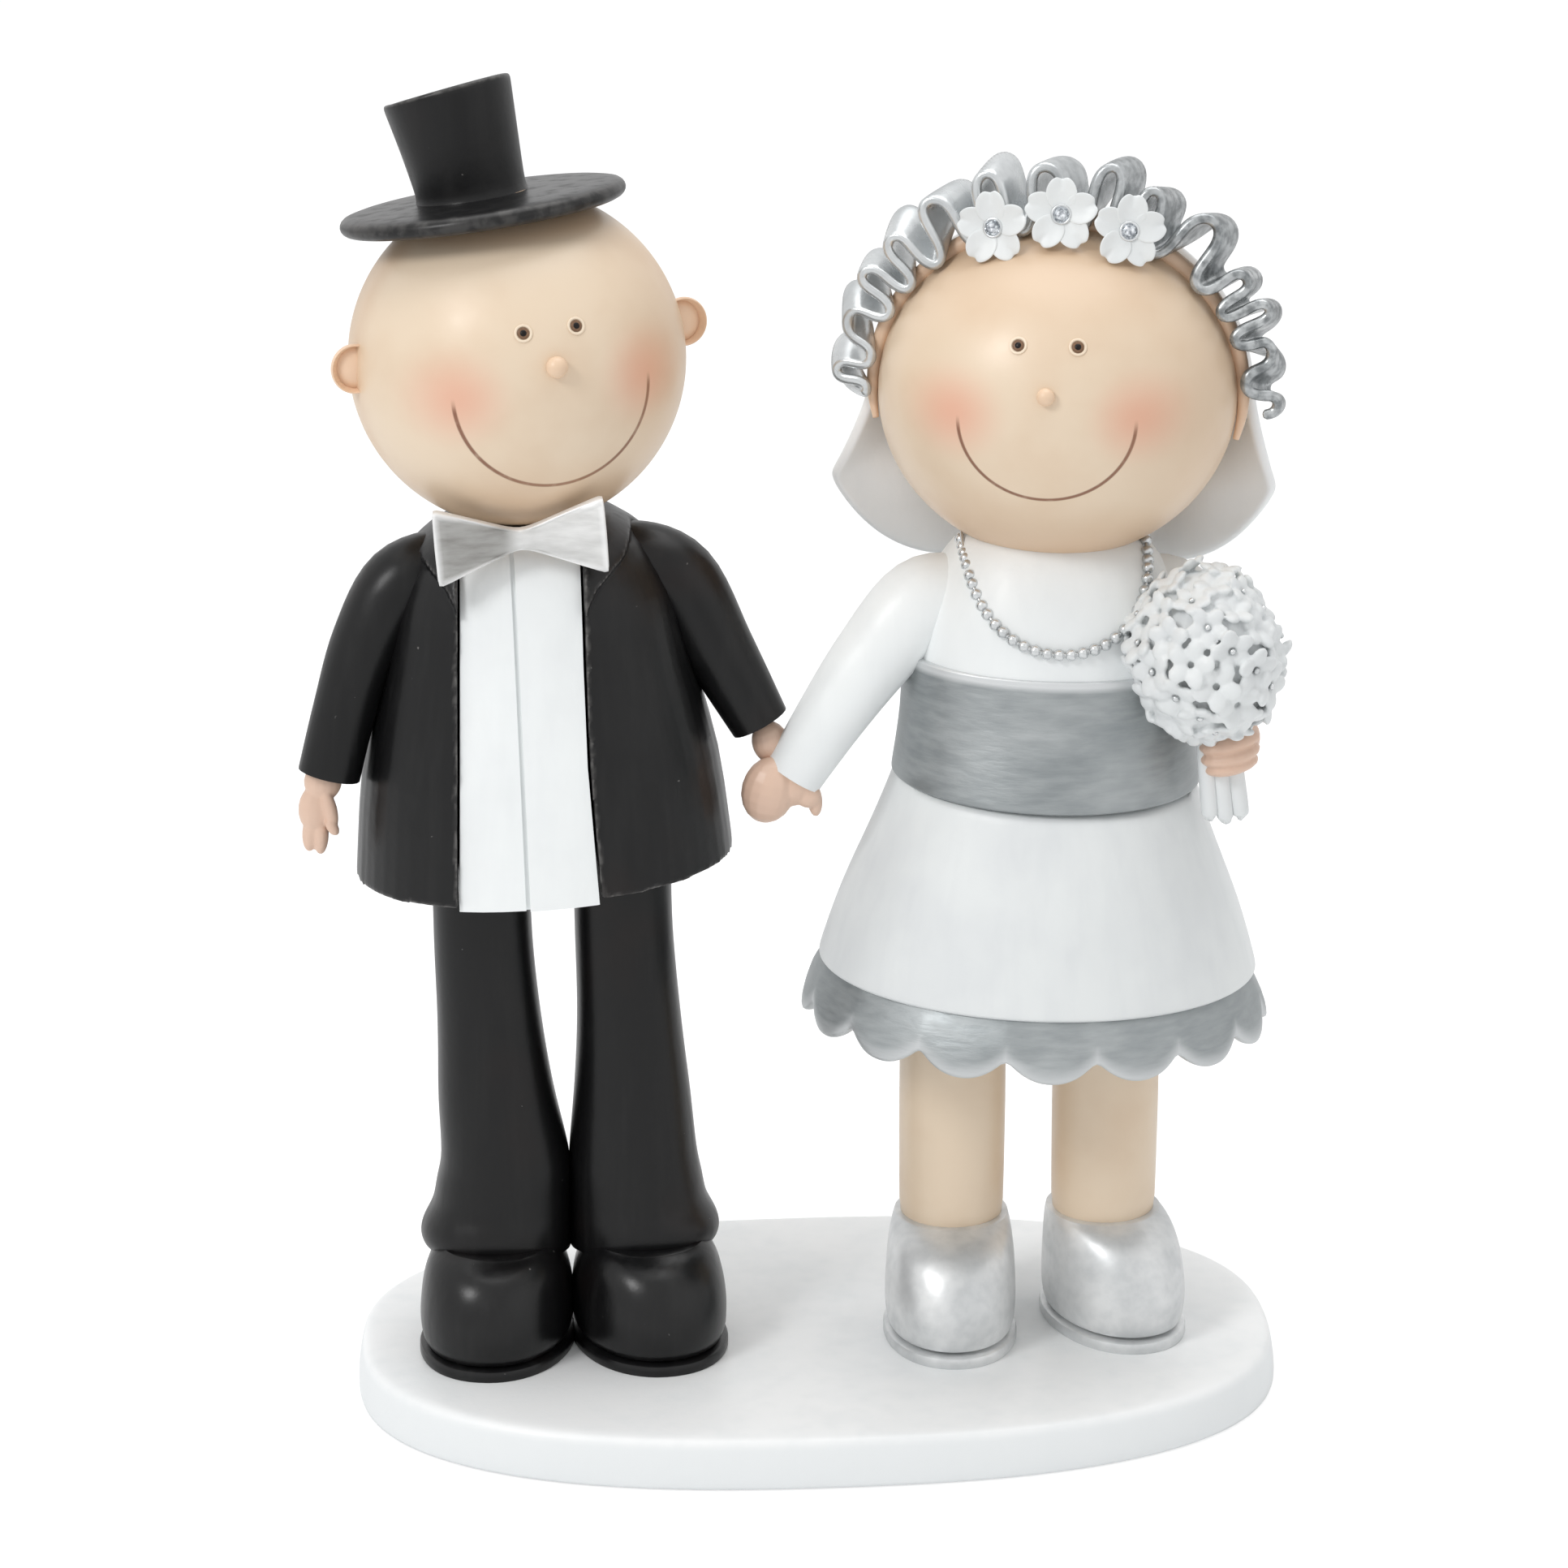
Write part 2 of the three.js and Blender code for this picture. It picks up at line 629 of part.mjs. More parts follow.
// Heads, each as a group with its own turn and roll
const groomHead = new THREE.Group();
groomHead.position.set(groomHeadX, 0, groomHeadZ);
groomHead.rotation.set(0, -groomHeadRoll * degree, groomHeadTurn * degree);
groom.add(groomHead);
const brideHead = new THREE.Group();
brideHead.position.set(brideHeadX, 0, brideHeadZ);
brideHead.rotation.set(0, 0, brideHeadTurn * degree);
bride.add(brideHead);
[groomHead, brideHead].forEach((head) => head.updateMatrix());

const intoHead = (geometry, head) => geometry.applyMatrix4(head.matrix.clone().invert());
const outOfHead = (geometry, head) => geometry.applyMatrix4(head.matrix);

const groomHeadBall = (grow = 0) => ball(groomHeadRadius, groomHeadRadius, groomHeadRadius,
  { around: headSides, grow });
const brideHeadBall = (grow = 0) => ball(brideHeadHalfWidth, brideHeadHalfDepth, brideHeadHalfHeight,
  { around: headSides, grow });

// Base plate with a drafted wall, a soft top edge and four pockets for the foot pegs
function basePlate() {
  const oval = (z, inset) => ({ z, half: baseHalfLength - inset, front: baseHalfDepth - inset });
  const rows = [
    oval(0, 0),
    oval(baseThickness - baseEdgeRound, baseDraft),
    oval(baseThickness - baseEdgeRound * 0.3, baseDraft + baseEdgeRound * 0.3),
    oval(baseThickness, baseDraft + baseEdgeRound),
  ].map((row) => ({ ...row, back: row.front }));
  const pocket = (foot, figureX) => solid(peg(
    [figureX + foot.x, foot.y, baseThickness - footPegLength],
    [figureX + foot.x, foot.y, baseThickness + soleThickness],
    footPegRadius,
    glueGap,
  ));
  const plate = solid(loft(rows, { sides: 36, power: baseSquareness }));
  return cutBy(plate, [
    ...groomFeet.map((foot) => pocket(foot, groomX)),
    ...brideFeet.map((foot) => pocket(foot, brideX)),
  ]);
}
add(group, 'base_plate', basePlate(), whitePaint, 0.55);

// Groom's shoes and trousers
groomFeet.forEach((foot) => {
  const side = foot.side === 'left' ? -1 : 1;
  const rows = shoeRows(groomShoeHalfWidth, groomToeLength, groomHeelLength, groomShoeHeight, false);
  const shape = (grow) => solid(atFoot(loft(rows, { power: 2.2, grow }), foot));
  const reach = 4 * groomShoeX;
  const halfSpace = solid(new THREE.BoxGeometry(reach, 2 * reach, reach)
    .translate(legSeamX - (side * (reach - glueGap)) / 2, 0, 0));
  add(groom, `groom_${foot.side}_sole`,
    sole(foot, groomShoeHalfWidth, groomToeLength, groomHeelLength).subtract(halfSpace), blackPaint, 0.4);
  add(groom, `groom_${foot.side}_shoe`, shape(0).subtract(halfSpace), blackPaint, 0.35);
  const leg = solid(trouserLeg(side)).subtract(shape(glueGap));
  add(groom, `groom_${foot.side}_trouser_leg`, leg, blackPaint, 0.45);
});

// Groom's jacket, shirt and tie
const groomHeadSeat = solid(outOfHead(groomHeadBall(glueGap), groomHead));
const groomHeadFoot = groomHeadZ - groomHeadRadius;
const groomNeck = (grow) => solid(neckPost(groomHeadX, groomHeadFoot, grow));
const jacketUnderside = loft([
  { up: -1.6, inset: 1.1 },
  { up: 1, inset: 1.7 },
].map(({ up, inset }) => ({
  z: jacketHemZ + jacketDish * up,
  x: jacketHemX,
  half: jacketHemHalfWidth - jacketDish * inset,
  front: jacketHemFront - jacketDish * inset,
  back: jacketHemBack - jacketDish * inset,
  roll: jacketHemRoll,
})), { sides: jacketSides });

const jacket = cutBy(solid(jacketForm()), [solid(jacketUnderside), solid(frontOpening(glueGap))])
  .add(collar().subtract(solid(frontOpening(glueGap))));
add(groom, 'groom_jacket', cutBy(jacket, [
  solid(trouserLeg(-1, glueGap)),
  solid(trouserLeg(1, glueGap)),
  ...Object.values(groomSleeves).map((stops) => solid(shoulderPeg(stops, glueGap))),
  groomHeadSeat,
]).add(groomNeck(0)), blackPaint, 0.5);

const shirtPanel = solid(jacketForm(-shirtInset, shirtDrop + shirtInset)).intersect(solid(frontOpening()));
const overPanel = solid(jacketForm(placketStep - shirtInset, shirtDrop + shirtInset - placketStep))
  .intersect(solid(frontOpening()))
  .intersect(solid(placketSide()));
const shirt = shirtPanel.add(overPanel).subtract(groomHeadSeat);
add(groom, 'groom_shirt_front', shirt.subtract(groomNeck(glueGap)), whitePaint, 0.5);

// The bow tie is lofted along its length and pinched at the knot
function bowTie() {
  const stations = [-1, -0.93, -0.5, -0.16, -0.1, 0.1, 0.16, 0.5, 0.93, 1];
  const rings = stations.map((station) => {
    const reach = Math.abs(station);
    const knot = reach < 0.13;
    const open = Math.min(1, Math.max(0, reach - 0.1) / 0.83);
    const pinch = tieKnotHeight * 0.8;
    const height = knot ? tieKnotHeight * 1.15 : pinch + (tieEndHeight - pinch) * open;
    const depth = knot ? tieThickness * 0.62 : tieThickness * (0.42 + 0.08 * open);
    const row = { x: 0, y: 0, z: 0, half: depth, front: height, back: height, roll: 0, pitch: 0 };
    return ovalRing(row, 12, 4).map((point) => new THREE.Vector3(
      station * tieHalfWidth,
      point.x - tieSweep * reach,
      point.y,
    ));
  });
  return skin(rings).rotateY(-tieRoll * degree).translate(shirtX, tieY, tieZ);
}
const tieStub = peg([shirtX, tieY, tieZ], [shirtX, tieY + tieSeatDepth, tieZ], tieSeatRadius);
const jacketSeat = solid(jacketForm(lapelRaise + glueGap));
const bow = solid(bowTie()).add(solid(tieStub));
add(groom, 'groom_bow_tie', cutBy(bow, [jacketSeat, groomHeadSeat]), silverPaint, 0.35, 0.6);

// Sleeves and hands
function hand(eggs, grow = 0, shift = 0) {
  return joined(eggs.map(([x, y, z, halfX, halfY, halfZ, lean]) => solid(
    ball(halfX, halfY, halfZ, { grow }).rotateY(lean * degree).translate(x + shift, y, z))));
}

// Eggs of a hand: [x, y, z, half x, half y, half z, lean], the palm first and then fingers and thumb
const groomHands = inUnits({
  left: [[-27.4, -5.2, 67.1, 2.1, 1.6, 4.2, 8], [-25.9, -6.5, 67.7, 0.9, 0.9, 2.2, -8],
    [-27.7, -5.1, 64, 1.5, 1.2, 2.5, 4]],
  right: [[45, -2.8, 70.8, 1.9, 1.7, 3.1, -14], [46.7, -1.7, 68.1, 2.2, 1.7, 2.8, -10]],
}, groomUnit, 'right');
const brideHands = inUnits({
  left: [[-57.2, -5.5, 69, 3.2, 2.7, 4.1, 14], [-51.9, -5.8, 68.9, 2.4, 1.6, 2, 0],
    [-48, -5.6, 68.1, 0.9, 0.9, 2.1, -4]],
  right: [[19.9, -11.9, 74.6, 3.8, 3.3, 2.9, -14], [21.6, -10.2, 76, 2.6, 2.8, 2.8, -20]],
}, brideUnit, 'left');

// The bride's left hand and sleeve as the groom's right hand meets them
const brideFromGroom = brideX - groomX;
const brideHandSeat = hand(brideHands.left, glueGap, brideFromGroom)
  .add(solid(limb(brideSleeves.left, { grow: glueGap }).translate(brideFromGroom, 0, 0)));
const jacketWall = solid(jacketForm(glueGap)).add(collar());

Object.entries(groomSleeves).forEach(([side, stops]) => {
  const sleeve = solid(limb(stops)).subtract(jacketWall).add(solid(shoulderPeg(stops)));
  add(groom, `groom_${side}_sleeve`, sleeve.subtract(solid(cuffPeg(stops, glueGap))), blackPaint, 0.5);
  const bare = hand(groomHands[side]).subtract(solid(limb(stops, { grow: glueGap })));
  const whole = bare.add(solid(cuffPeg(stops)));
  add(groom, `groom_${side}_hand`, side === 'right' ? whole.subtract(brideHandSeat) : whole, skinPaint, 0.5);
});

// Groom's head, ears, nose and hat
const hat = new THREE.Group();
hat.rotation.set(-hatPitch * degree, -hatRoll * degree, 0);
hat.position.set(hatOffset, 0, 0);
groomHead.add(hat);
hat.updateMatrix();
const hatToHead = (geometry) => geometry.applyMatrix4(hat.matrix);
const hatPeg = (grow) => peg(
  [crownOffset, crownBack, hatSeat - hatPegLength],
  [crownOffset, crownBack, hatSeat + brimThickness + crownHeight * 0.09],
  hatPegRadius,
  grow,
);
const hatRecess = new THREE.CylinderGeometry(brimRadius, brimRadius, crownHeight, 12).rotateX(Math.PI / 2)
  .translate(0, 0, hatSeat + crownHeight / 2 - glueGap);

function earOn(side) {
  const shell = ball(earHalfHeight * 0.95, earHalfHeight * 0.6, earHalfHeight);
  const bowl = ball(earHalfHeight * 0.66, earHalfHeight * 0.5, earHalfHeight * 0.7)
    .translate(0, -earHalfHeight * 0.6, 0);
  const reach = groomHeadRadius * Math.cos(earLift * degree) + earHalfHeight * 0.25;
  const across = side * reach * Math.sin(earTurn * degree);
  const ahead = -reach * Math.cos(earTurn * degree);
  const lift = groomHeadRadius * Math.sin(earLift * degree);
  const [outer, inner] = [shell, bowl].map((geometry) => solid(geometry.translate(across, ahead, lift)));
  return outer.subtract(inner).subtract(solid(groomHeadBall(glueGap)));
}

function noseOn(depth, height, headBall) {
  const tip = ball(noseRadius, noseRadius, noseRadius);
  return solid(tip.translate(0, -depth, height)).subtract(solid(headBall(glueGap)));
}

const groomSkull = cutBy(solid(groomHeadBall()), [
  solid(intoHead(neckPost(groomHeadX, groomHeadFoot, glueGap), groomHead)),
  solid(hatToHead(hatRecess)),
  solid(hatToHead(hatPeg(glueGap))),
]);
add(groomHead, 'groom_head', groomSkull, skinPaint, 0.45);
add(groomHead, 'groom_left_ear', earOn(-1), skinPaint, 0.45);
add(groomHead, 'groom_right_ear', earOn(1), skinPaint, 0.45);
add(groomHead, 'groom_nose', noseOn(
  (groomHeadRadius + noseRadius * 0.4) * Math.cos(groomNoseLift * degree),
  (groomHeadRadius + noseRadius * 0.4) * Math.sin(groomNoseLift * degree),
  groomHeadBall,
), skinPaint, 0.45);

const brimProfile = [[0, 0], [0.95, 0], [1, 0.35], [1, 0.65], [0.95, 1], [0, 1]]
  .map(([reach, up]) => new THREE.Vector2(reach * brimRadius, hatSeat + up * brimThickness));
const brim = new THREE.LatheGeometry(brimProfile, 24).rotateX(Math.PI / 2);
const crownFoot = hatSeat + brimThickness + glueGap;
const crownMiddle = (crownFootRadius + crownTopRadius) / 2;
const crownRows = [
  { z: crownFoot, half: crownFootRadius, x: crownOffset },
  { z: crownFoot + crownHeight * 0.5, half: crownMiddle, x: crownOffset - crownLean * 0.5 },
  { z: crownFoot + crownHeight * 0.95, half: crownTopRadius, x: crownOffset - crownLean, roll: crownTopRoll },
  { z: crownFoot + crownHeight, half: crownTopRadius * 0.93, x: crownOffset - crownLean, roll: crownTopRoll },
].map((row) => ({ y: crownBack, ...row }));
add(hat, 'top_hat_brim', solid(brim).subtract(solid(hatPeg(glueGap))), blackPaint, 0.5);
add(hat, 'top_hat_crown', solid(loft(crownRows, { sides: 20 })).add(solid(hatPeg(0))), blackPaint, 0.5);

// Bride's shoes and legs
function brideLeg(side, grow = 0) {
  const x = brideLegShift + side * brideLegSpread;
  return loft([
    { z: brideShoeHeight - ankleSeat, x: x - side * glueGap, half: brideLegRadius },
    { z: (brideShoeHeight + skirtHemZ) / 2, x, half: brideLegRadius },
    { z: skirtHemZ - flounceDish * 0.6, x, half: brideLegRadius },
  ].map((row) => ({ y: brideLegY, ...row })), { grow });
}

brideFeet.forEach((foot) => {
  const side = foot.side === 'left' ? -1 : 1;
  const rows = shoeRows(brideShoeHalfWidth, brideToeLength, brideHeelLength, brideShoeHeight, true);
  const shape = solid(atFoot(loft(rows, { power: 2.1 }), foot));
  add(bride, `bride_${foot.side}_sole`, sole(foot, brideShoeHalfWidth, brideToeLength, brideHeelLength),
    silverPaint, 0.35, 0.6);
  const shoe = shape.subtract(solid(brideLeg(side, glueGap)));
  add(bride, `bride_${foot.side}_shoe`, shoe, silverPaint, 0.3, 0.6);
  add(bride, `bride_${foot.side}_leg`, solid(brideLeg(side)), skinPaint, 0.5);
});

// Dress, from the scalloped flounce up
const flounceSeatHalf = skirtHemHalfWidth - skirtRimThickness - glueGap;
const flounceSeatDepth = skirtHemHalfDepth - skirtRimThickness - glueGap;
const dressAt = (z) => dressX + (dressLean * (z - skirtHemZ)) / (sashZ + sashHeight - skirtHemZ);

function flounce() {
  const perScallop = 4;
  const sides = scallopCount * perScallop;
  const ring = (z, half, depth, bulge, drop) => {
    const points = [];
    for (let side = 0; side < sides; side += 1) {
      const angle = (2 * Math.PI * (side + scallopShift * perScallop)) / sides;
      const across = ((side % perScallop) / perScallop) * 2 - 1;
      const lobe = 1 - across * across;
      const x = (half + bulge * lobe) * Math.cos(angle);
      const y = (depth + bulge * lobe) * Math.sin(angle);
      points.push(new THREE.Vector3(dressX + x, y, z - drop * lobe + skirtRoll * x));
    }
    return points;
  };
  const notchZ = flounceTipZ + scallopDepth;
  return skin([
    ring(notchZ + flounceDish, flounceHalfWidth * 0.77, flounceHalfDepth * 0.74, 0, 0),
    ring(notchZ + glueGap, flounceHalfWidth - flounceThickness, flounceHalfDepth - flounceThickness,
      scallopBulge, scallopDepth),
    ring(notchZ, flounceHalfWidth, flounceHalfDepth, scallopBulge, scallopDepth),
    ring(skirtHemZ - flounceDish * 0.6, flounceSeatHalf, flounceSeatDepth, 0, 0),
    ring(skirtHemZ + flounceSeatHeight, flounceSeatHalf, flounceSeatDepth, 0, 0),
  ]);
}

// The pocket under the skirt that takes the flounce's upper end
const flouncePocket = loft([skirtHemZ - flounceSeatHeight, skirtHemZ + flounceSeatHeight].map((z) => (
  { z, x: dressX, half: flounceSeatHalf, front: flounceSeatDepth, back: flounceSeatDepth, roll: skirtRoll }
)), { sides: skirtSides, grow: glueGap });

// Dress rows as shares: height, half width, front and back
function dressRows(foot, height, half, depth, shares) {
  return shares.map(([up, wide, front, back, roll = 1]) => {
    const z = foot + height * up;
    return {
      z,
      x: dressAt(z),
      roll: skirtRoll * roll,
      half: half * wide,
      front: depth * front,
      back: depth * back,
    };
  });
}

const skirtRows = dressRows(skirtHemZ, skirtHeight - glueGap, skirtHemHalfWidth, skirtHemHalfDepth, [
  [0, 1, 1, 0.954],
  [0.36, skirtHipHalfWidth / skirtHemHalfWidth, 0.944, 0.898],
  [0.67, 0.816, 0.866, 0.815],
  [1, sashFootHalfWidth / skirtHemHalfWidth, sashFootHalfDepth / skirtHemHalfDepth, 0.704],
]);

const sashFootShare = sashFootHalfWidth / sashTopHalfWidth;
const sashRows = dressRows(sashZ, sashHeight, sashTopHalfWidth, sashTopHalfDepth, [
  [0, sashFootShare, 1.258, 1.152],
  [0.07, sashFootShare, 1.242, 1.144],
  [0.5, 0.99, 1.106, 1.045],
  [1, 1, 1, 0.924],
]).map((row) => ({
  ...row,
  half: row.half + sashRaise,
  front: row.front + sashRaise,
  back: row.back + sashRaise,
}));

const bodiceRows = dressRows(bodiceZ, bodiceHeight, bodiceShoulderHalfWidth, sashTopHalfDepth, [
  [0, 1.23, 1, 0.924],
  [0.35, 1.183, 0.955, 0.864, 0.5],
  [0.65, 1, 0.818, 0.758, 0],
  [0.88, 0.746, 0.636, 0.606, 0],
  [1, 0.508, 0.455, 0.455, 0],
]);

const bodiceForm = (grow = 0) => loft(bodiceRows, { sides: 18, power: bodiceSquareness, grow });
const sashForm = (grow = 0) => loft(sashRows, { sides: 24, grow });
const skirtForm = (grow = 0) => loft(skirtRows, { sides: skirtSides, grow });
function waistPeg(z, grow) {
  const x = dressAt(z);
  return solid(peg([x, 0, z - waistPegLength], [x, 0, z + waistPegLength], waistPegRadius, grow));
}
const brideHeadSeat = solid(outOfHead(brideHeadBall(glueGap), brideHead));
const brideHeadFoot = brideHeadZ - brideHeadHalfHeight;
const brideNeck = (grow) => neckPost(brideHeadX, brideHeadFoot, grow);
const legCuts = [-1, 1].map((side) => solid(brideLeg(side, glueGap)));

add(bride, 'dress_flounce', cutBy(solid(flounce()), legCuts), silverPaint, 0.4, 0.6);
const skirt = cutBy(solid(skirtForm()), [solid(flouncePocket), ...legCuts]).add(waistPeg(sashZ, 0));
add(bride, 'dress_skirt', skirt, whitePaint, 0.55);
const sash = solid(sashForm()).subtract(waistPeg(sashZ, glueGap)).add(waistPeg(sashZ + sashHeight, 0));
add(bride, 'dress_sash', sash, silverPaint, 0.4, 0.6);
const bodice = cutBy(solid(bodiceForm()), [
  waistPeg(sashZ + sashHeight, glueGap),
  brideHeadSeat,
  ...Object.values(brideSleeves).map((stops) => solid(shoulderPeg(stops, glueGap))),
]).add(solid(brideNeck(0)));
add(bride, 'dress_bodice', bodice, whitePaint, 0.55);

// Bouquet: a dome of five-petalled blossoms over a core, on three stems held in the right hand
const petalCount = 5;
function petalPlate(radius, thickness, perPetal) {
  const notch = 0.35; // the notches between petals go this far in
  const outline = [];
  for (let step = 0; step < petalCount * perPetal; step += 1) {
    const angle = (2 * Math.PI * step) / (petalCount * perPetal);
    const lobe = Math.abs(Math.cos((petalCount * angle) / 2)) ** 0.7;
    const reach = radius * (1 - notch + notch * lobe);
    outline.push(new THREE.Vector2(reach * Math.cos(angle), reach * Math.sin(angle)));
  }
  return new THREE.ExtrudeGeometry(new THREE.Shape(outline), { depth: thickness, bevelEnabled: false });
}

function bouquetHead() {
  const core = solid(ball(bouquetHalfWidth, bouquetHalfWidth, bouquetHalfHeight, { around: 8 })
    .translate(bouquetX, bouquetY, bouquetZ));
  const blossoms = [];
  for (let number = 0; number < blossomCount; number += 1) {
    const height = 1 - (2 * (number + 0.5)) / blossomCount;
    const turn = number * Math.PI * (3 - Math.sqrt(5));
    const level = Math.sqrt(1 - height * height);
    const normal = new THREE.Vector3(level * Math.cos(turn), level * Math.sin(turn), height);
    if (normal.y > blossomBackLimit) continue; // the back of the bouquet leans on the dress
    const geometry = petalPlate(blossomRadius, blossomThickness, 2).rotateZ(number * 0.7);
    geometry.translate(0, 0, -blossomThickness / 2);
    geometry.applyQuaternion(new THREE.Quaternion().setFromUnitVectors(new THREE.Vector3(0, 0, 1), normal));
    blossoms.push(solid(geometry.translate(
      bouquetX + normal.x * bouquetHalfWidth,
      bouquetY + normal.y * bouquetHalfWidth,
      bouquetZ + normal.z * bouquetHalfHeight,
    )));
  }
  return joined([core, ...blossoms]);
}

function stems(grow = 0) {
  const foot = bouquetZ - bouquetHalfHeight - stemLength;
  return joined([-1, 0, 1].map((place) => solid(peg(
    [
      bouquetX + bouquetHalfWidth * 0.4 + place * stemSpacing * 1.15,
      bouquetY + bouquetHalfWidth * 0.2,
      foot + Math.abs(place) * stemRadius / 2,
    ],
    [
      bouquetX + bouquetHalfWidth * 0.15 + place * stemSpacing * 0.9,
      bouquetY + bouquetHalfWidth * 0.13,
      bouquetZ - bouquetHalfHeight / 2,
    ],
    stemRadius,
    grow,
    8,
  ))));
}

const dressWall = joined([bodiceForm(glueGap), sashForm(glueGap), skirtForm(glueGap)].map(solid));

Object.entries(brideSleeves).forEach(([side, stops]) => {
  const sleeve = cutBy(solid(limb(stops)), [dressWall, brideHeadSeat]).add(solid(shoulderPeg(stops)));
  add(bride, `bride_${side}_sleeve`, sleeve.subtract(solid(cuffPeg(stops, glueGap))), whitePaint, 0.55);
  const bare = cutBy(hand(brideHands[side]), [solid(limb(stops, { grow: glueGap })), dressWall]);
  const whole = bare.add(solid(cuffPeg(stops)));
  add(bride, `bride_${side}_hand`, side === 'right' ? whole.subtract(stems(glueGap)) : whole, skinPaint, 0.5);
});

add(bride, 'bouquet_stems', stems(), whitePaint, 0.5);
const rightArmSeat = hand(brideHands.right, glueGap).add(solid(limb(brideSleeves.right, { grow: glueGap })));

// Bead necklace: one strand that swells at each bead, lying on the front of the bodice
function necklacePath() {
  const front = (x, z) => frontOf(bodiceRows, x, z, bodiceSquareness);
  const path = [];
  const marks = 40;
  for (let mark = 0; mark <= marks; mark += 1) {
    const turn = Math.PI * (mark / marks);
    const x = brideHeadX - necklaceHalfWidth * Math.cos(turn);
    const z = bodiceZ + bodiceHeight - beadRadius * 1.6 - necklaceDrop * Math.sin(turn) ** 0.8;
    const surface = front(x, z);
    const slopeX = front(x + 0.5, z) - front(x - 0.5, z);
    const slopeZ = front(x, z + 0.5) - front(x, z - 0.5);
    const outward = new THREE.Vector3(slopeX, -1, slopeZ).normalize().multiplyScalar(beadRadius + glueGap);
    path.push(new THREE.Vector3(x, surface, z).add(outward));
  }
  return new THREE.CatmullRomCurve3(path);
}

function necklace() {
  const curve = necklacePath();
  const count = Math.round(curve.getLength() / beadPitch);
  const strand = [];
  for (let half = 0; half <= 2 * count; half += 1) {
    const place = curve.getPointAt(half / (2 * count));
    strand.push([place.x, place.y, place.z, beadRadius * (half % 2 ? 1 : 0.35)]);
  }
  return solid(limb(strand, { sides: 5, perSpan: 1 }));
}

const necklaceSeat = solid(limb(necklacePath().getSpacedPoints(16)
  .map((place) => [place.x, place.y, place.z, beadRadius + glueGap]), { sides: 6, perSpan: 1 }));
add(bride, 'bead_necklace', necklace().subtract(brideHeadSeat), silverPaint, 0.25, 0.8);
add(bride, 'bouquet_head', cutBy(bouquetHead(), [dressWall, rightArmSeat, stems(glueGap), necklaceSeat]),
  whitePaint, 0.5);

// Bride's head, garland, flowers and veil, all in the head's own frame
const brideSkull = solid(brideHeadBall()).subtract(solid(intoHead(brideNeck(glueGap), brideHead)));
add(brideHead, 'bride_head', brideSkull, skinPaint, 0.45);
add(brideHead, 'bride_nose', noseOn(
  (brideHeadHalfDepth + noseRadius * 0.3) * Math.cos(brideNoseLift * degree),
  (brideHeadHalfHeight + noseRadius * 0.3) * Math.sin(brideNoseLift * degree),
  brideHeadBall,
), skinPaint, 0.45);

// The garland is a ribbon whose outer edge swings to and fro and curls over itself
function garland() {
  const perWave = 5;
  const across = 1;
  const steps = garlandWaves * perWave;
  const grid = [];
  for (let step = 0; step <= steps; step += 1) {
    const share = step / steps;
    const wave = 2 * Math.PI * garlandWaves * share;
    const angle = (garlandLeftEnd + (garlandRightEnd - garlandLeftEnd) * share) * degree;
    const top = Math.max(0, Math.cos(angle));
    const height = garlandSideHeight + (garlandTopHeight - garlandSideHeight) * top;
    const line = [];
    for (let cell = 0; cell <= across; cell += 1) {
      const out = cell / across;
      const turned = angle + (garlandCurl * out * Math.sin(2 * wave)) / brideHeadHalfWidth;
      const reach = glueGap + garlandThickness * 0.2 + height * out * (1 + garlandNotch * Math.cos(wave));
      line.push(new THREE.Vector3(
        garlandShift * out + (brideHeadHalfWidth + reach) * Math.sin(turned),
        garlandSwing * (0.3 + 0.7 * out) * Math.sin(wave),
        (brideHeadHalfHeight + reach) * Math.cos(turned),
      ));
    }
    grid.push(line);
  }
  return sheet(grid, garlandThickness);
}

const stoneProfile = [[0, -1.2], [0.6, -1.2], [1, -0.85], [0.25, 0], [0, 0]]
  .map(([reach, along]) => new THREE.Vector2(reach * stoneRadius, along * stoneRadius));

// The arc that the garland fills, as a plain round band that the veil is cut back from
function garlandBand() {
  const stops = [];
  for (let step = 0; step <= 12; step += 1) {
    const angle = (garlandLeftEnd + ((garlandRightEnd - garlandLeftEnd) * step) / 12) * degree;
    const reach = garlandSideHeight / 2;
    stops.push([
      garlandShift / 2 + (brideHeadHalfWidth + reach) * Math.sin(angle),
      0,
      (brideHeadHalfHeight + reach) * Math.cos(angle),
      garlandSwing + garlandThickness,
    ]);
  }
  return limb(stops, { sides: 8, perSpan: 1, grow: glueGap });
}

// Hair flowers stand in a row in front of the garland, each with a cut stone in its middle
function flowerMatrix(place) {
  const x = flowerX + place * flowerSpacing;
  const z = brideHeadHalfHeight + flowerRadius * (0.45 - Math.abs(place) * 0.43);
  const turn = new THREE.Euler(flowerPitch * degree, place * 12 * degree, place * 14 * degree);
  return new THREE.Matrix4().makeRotationFromEuler(turn).setPosition(x, flowerY, z);
}

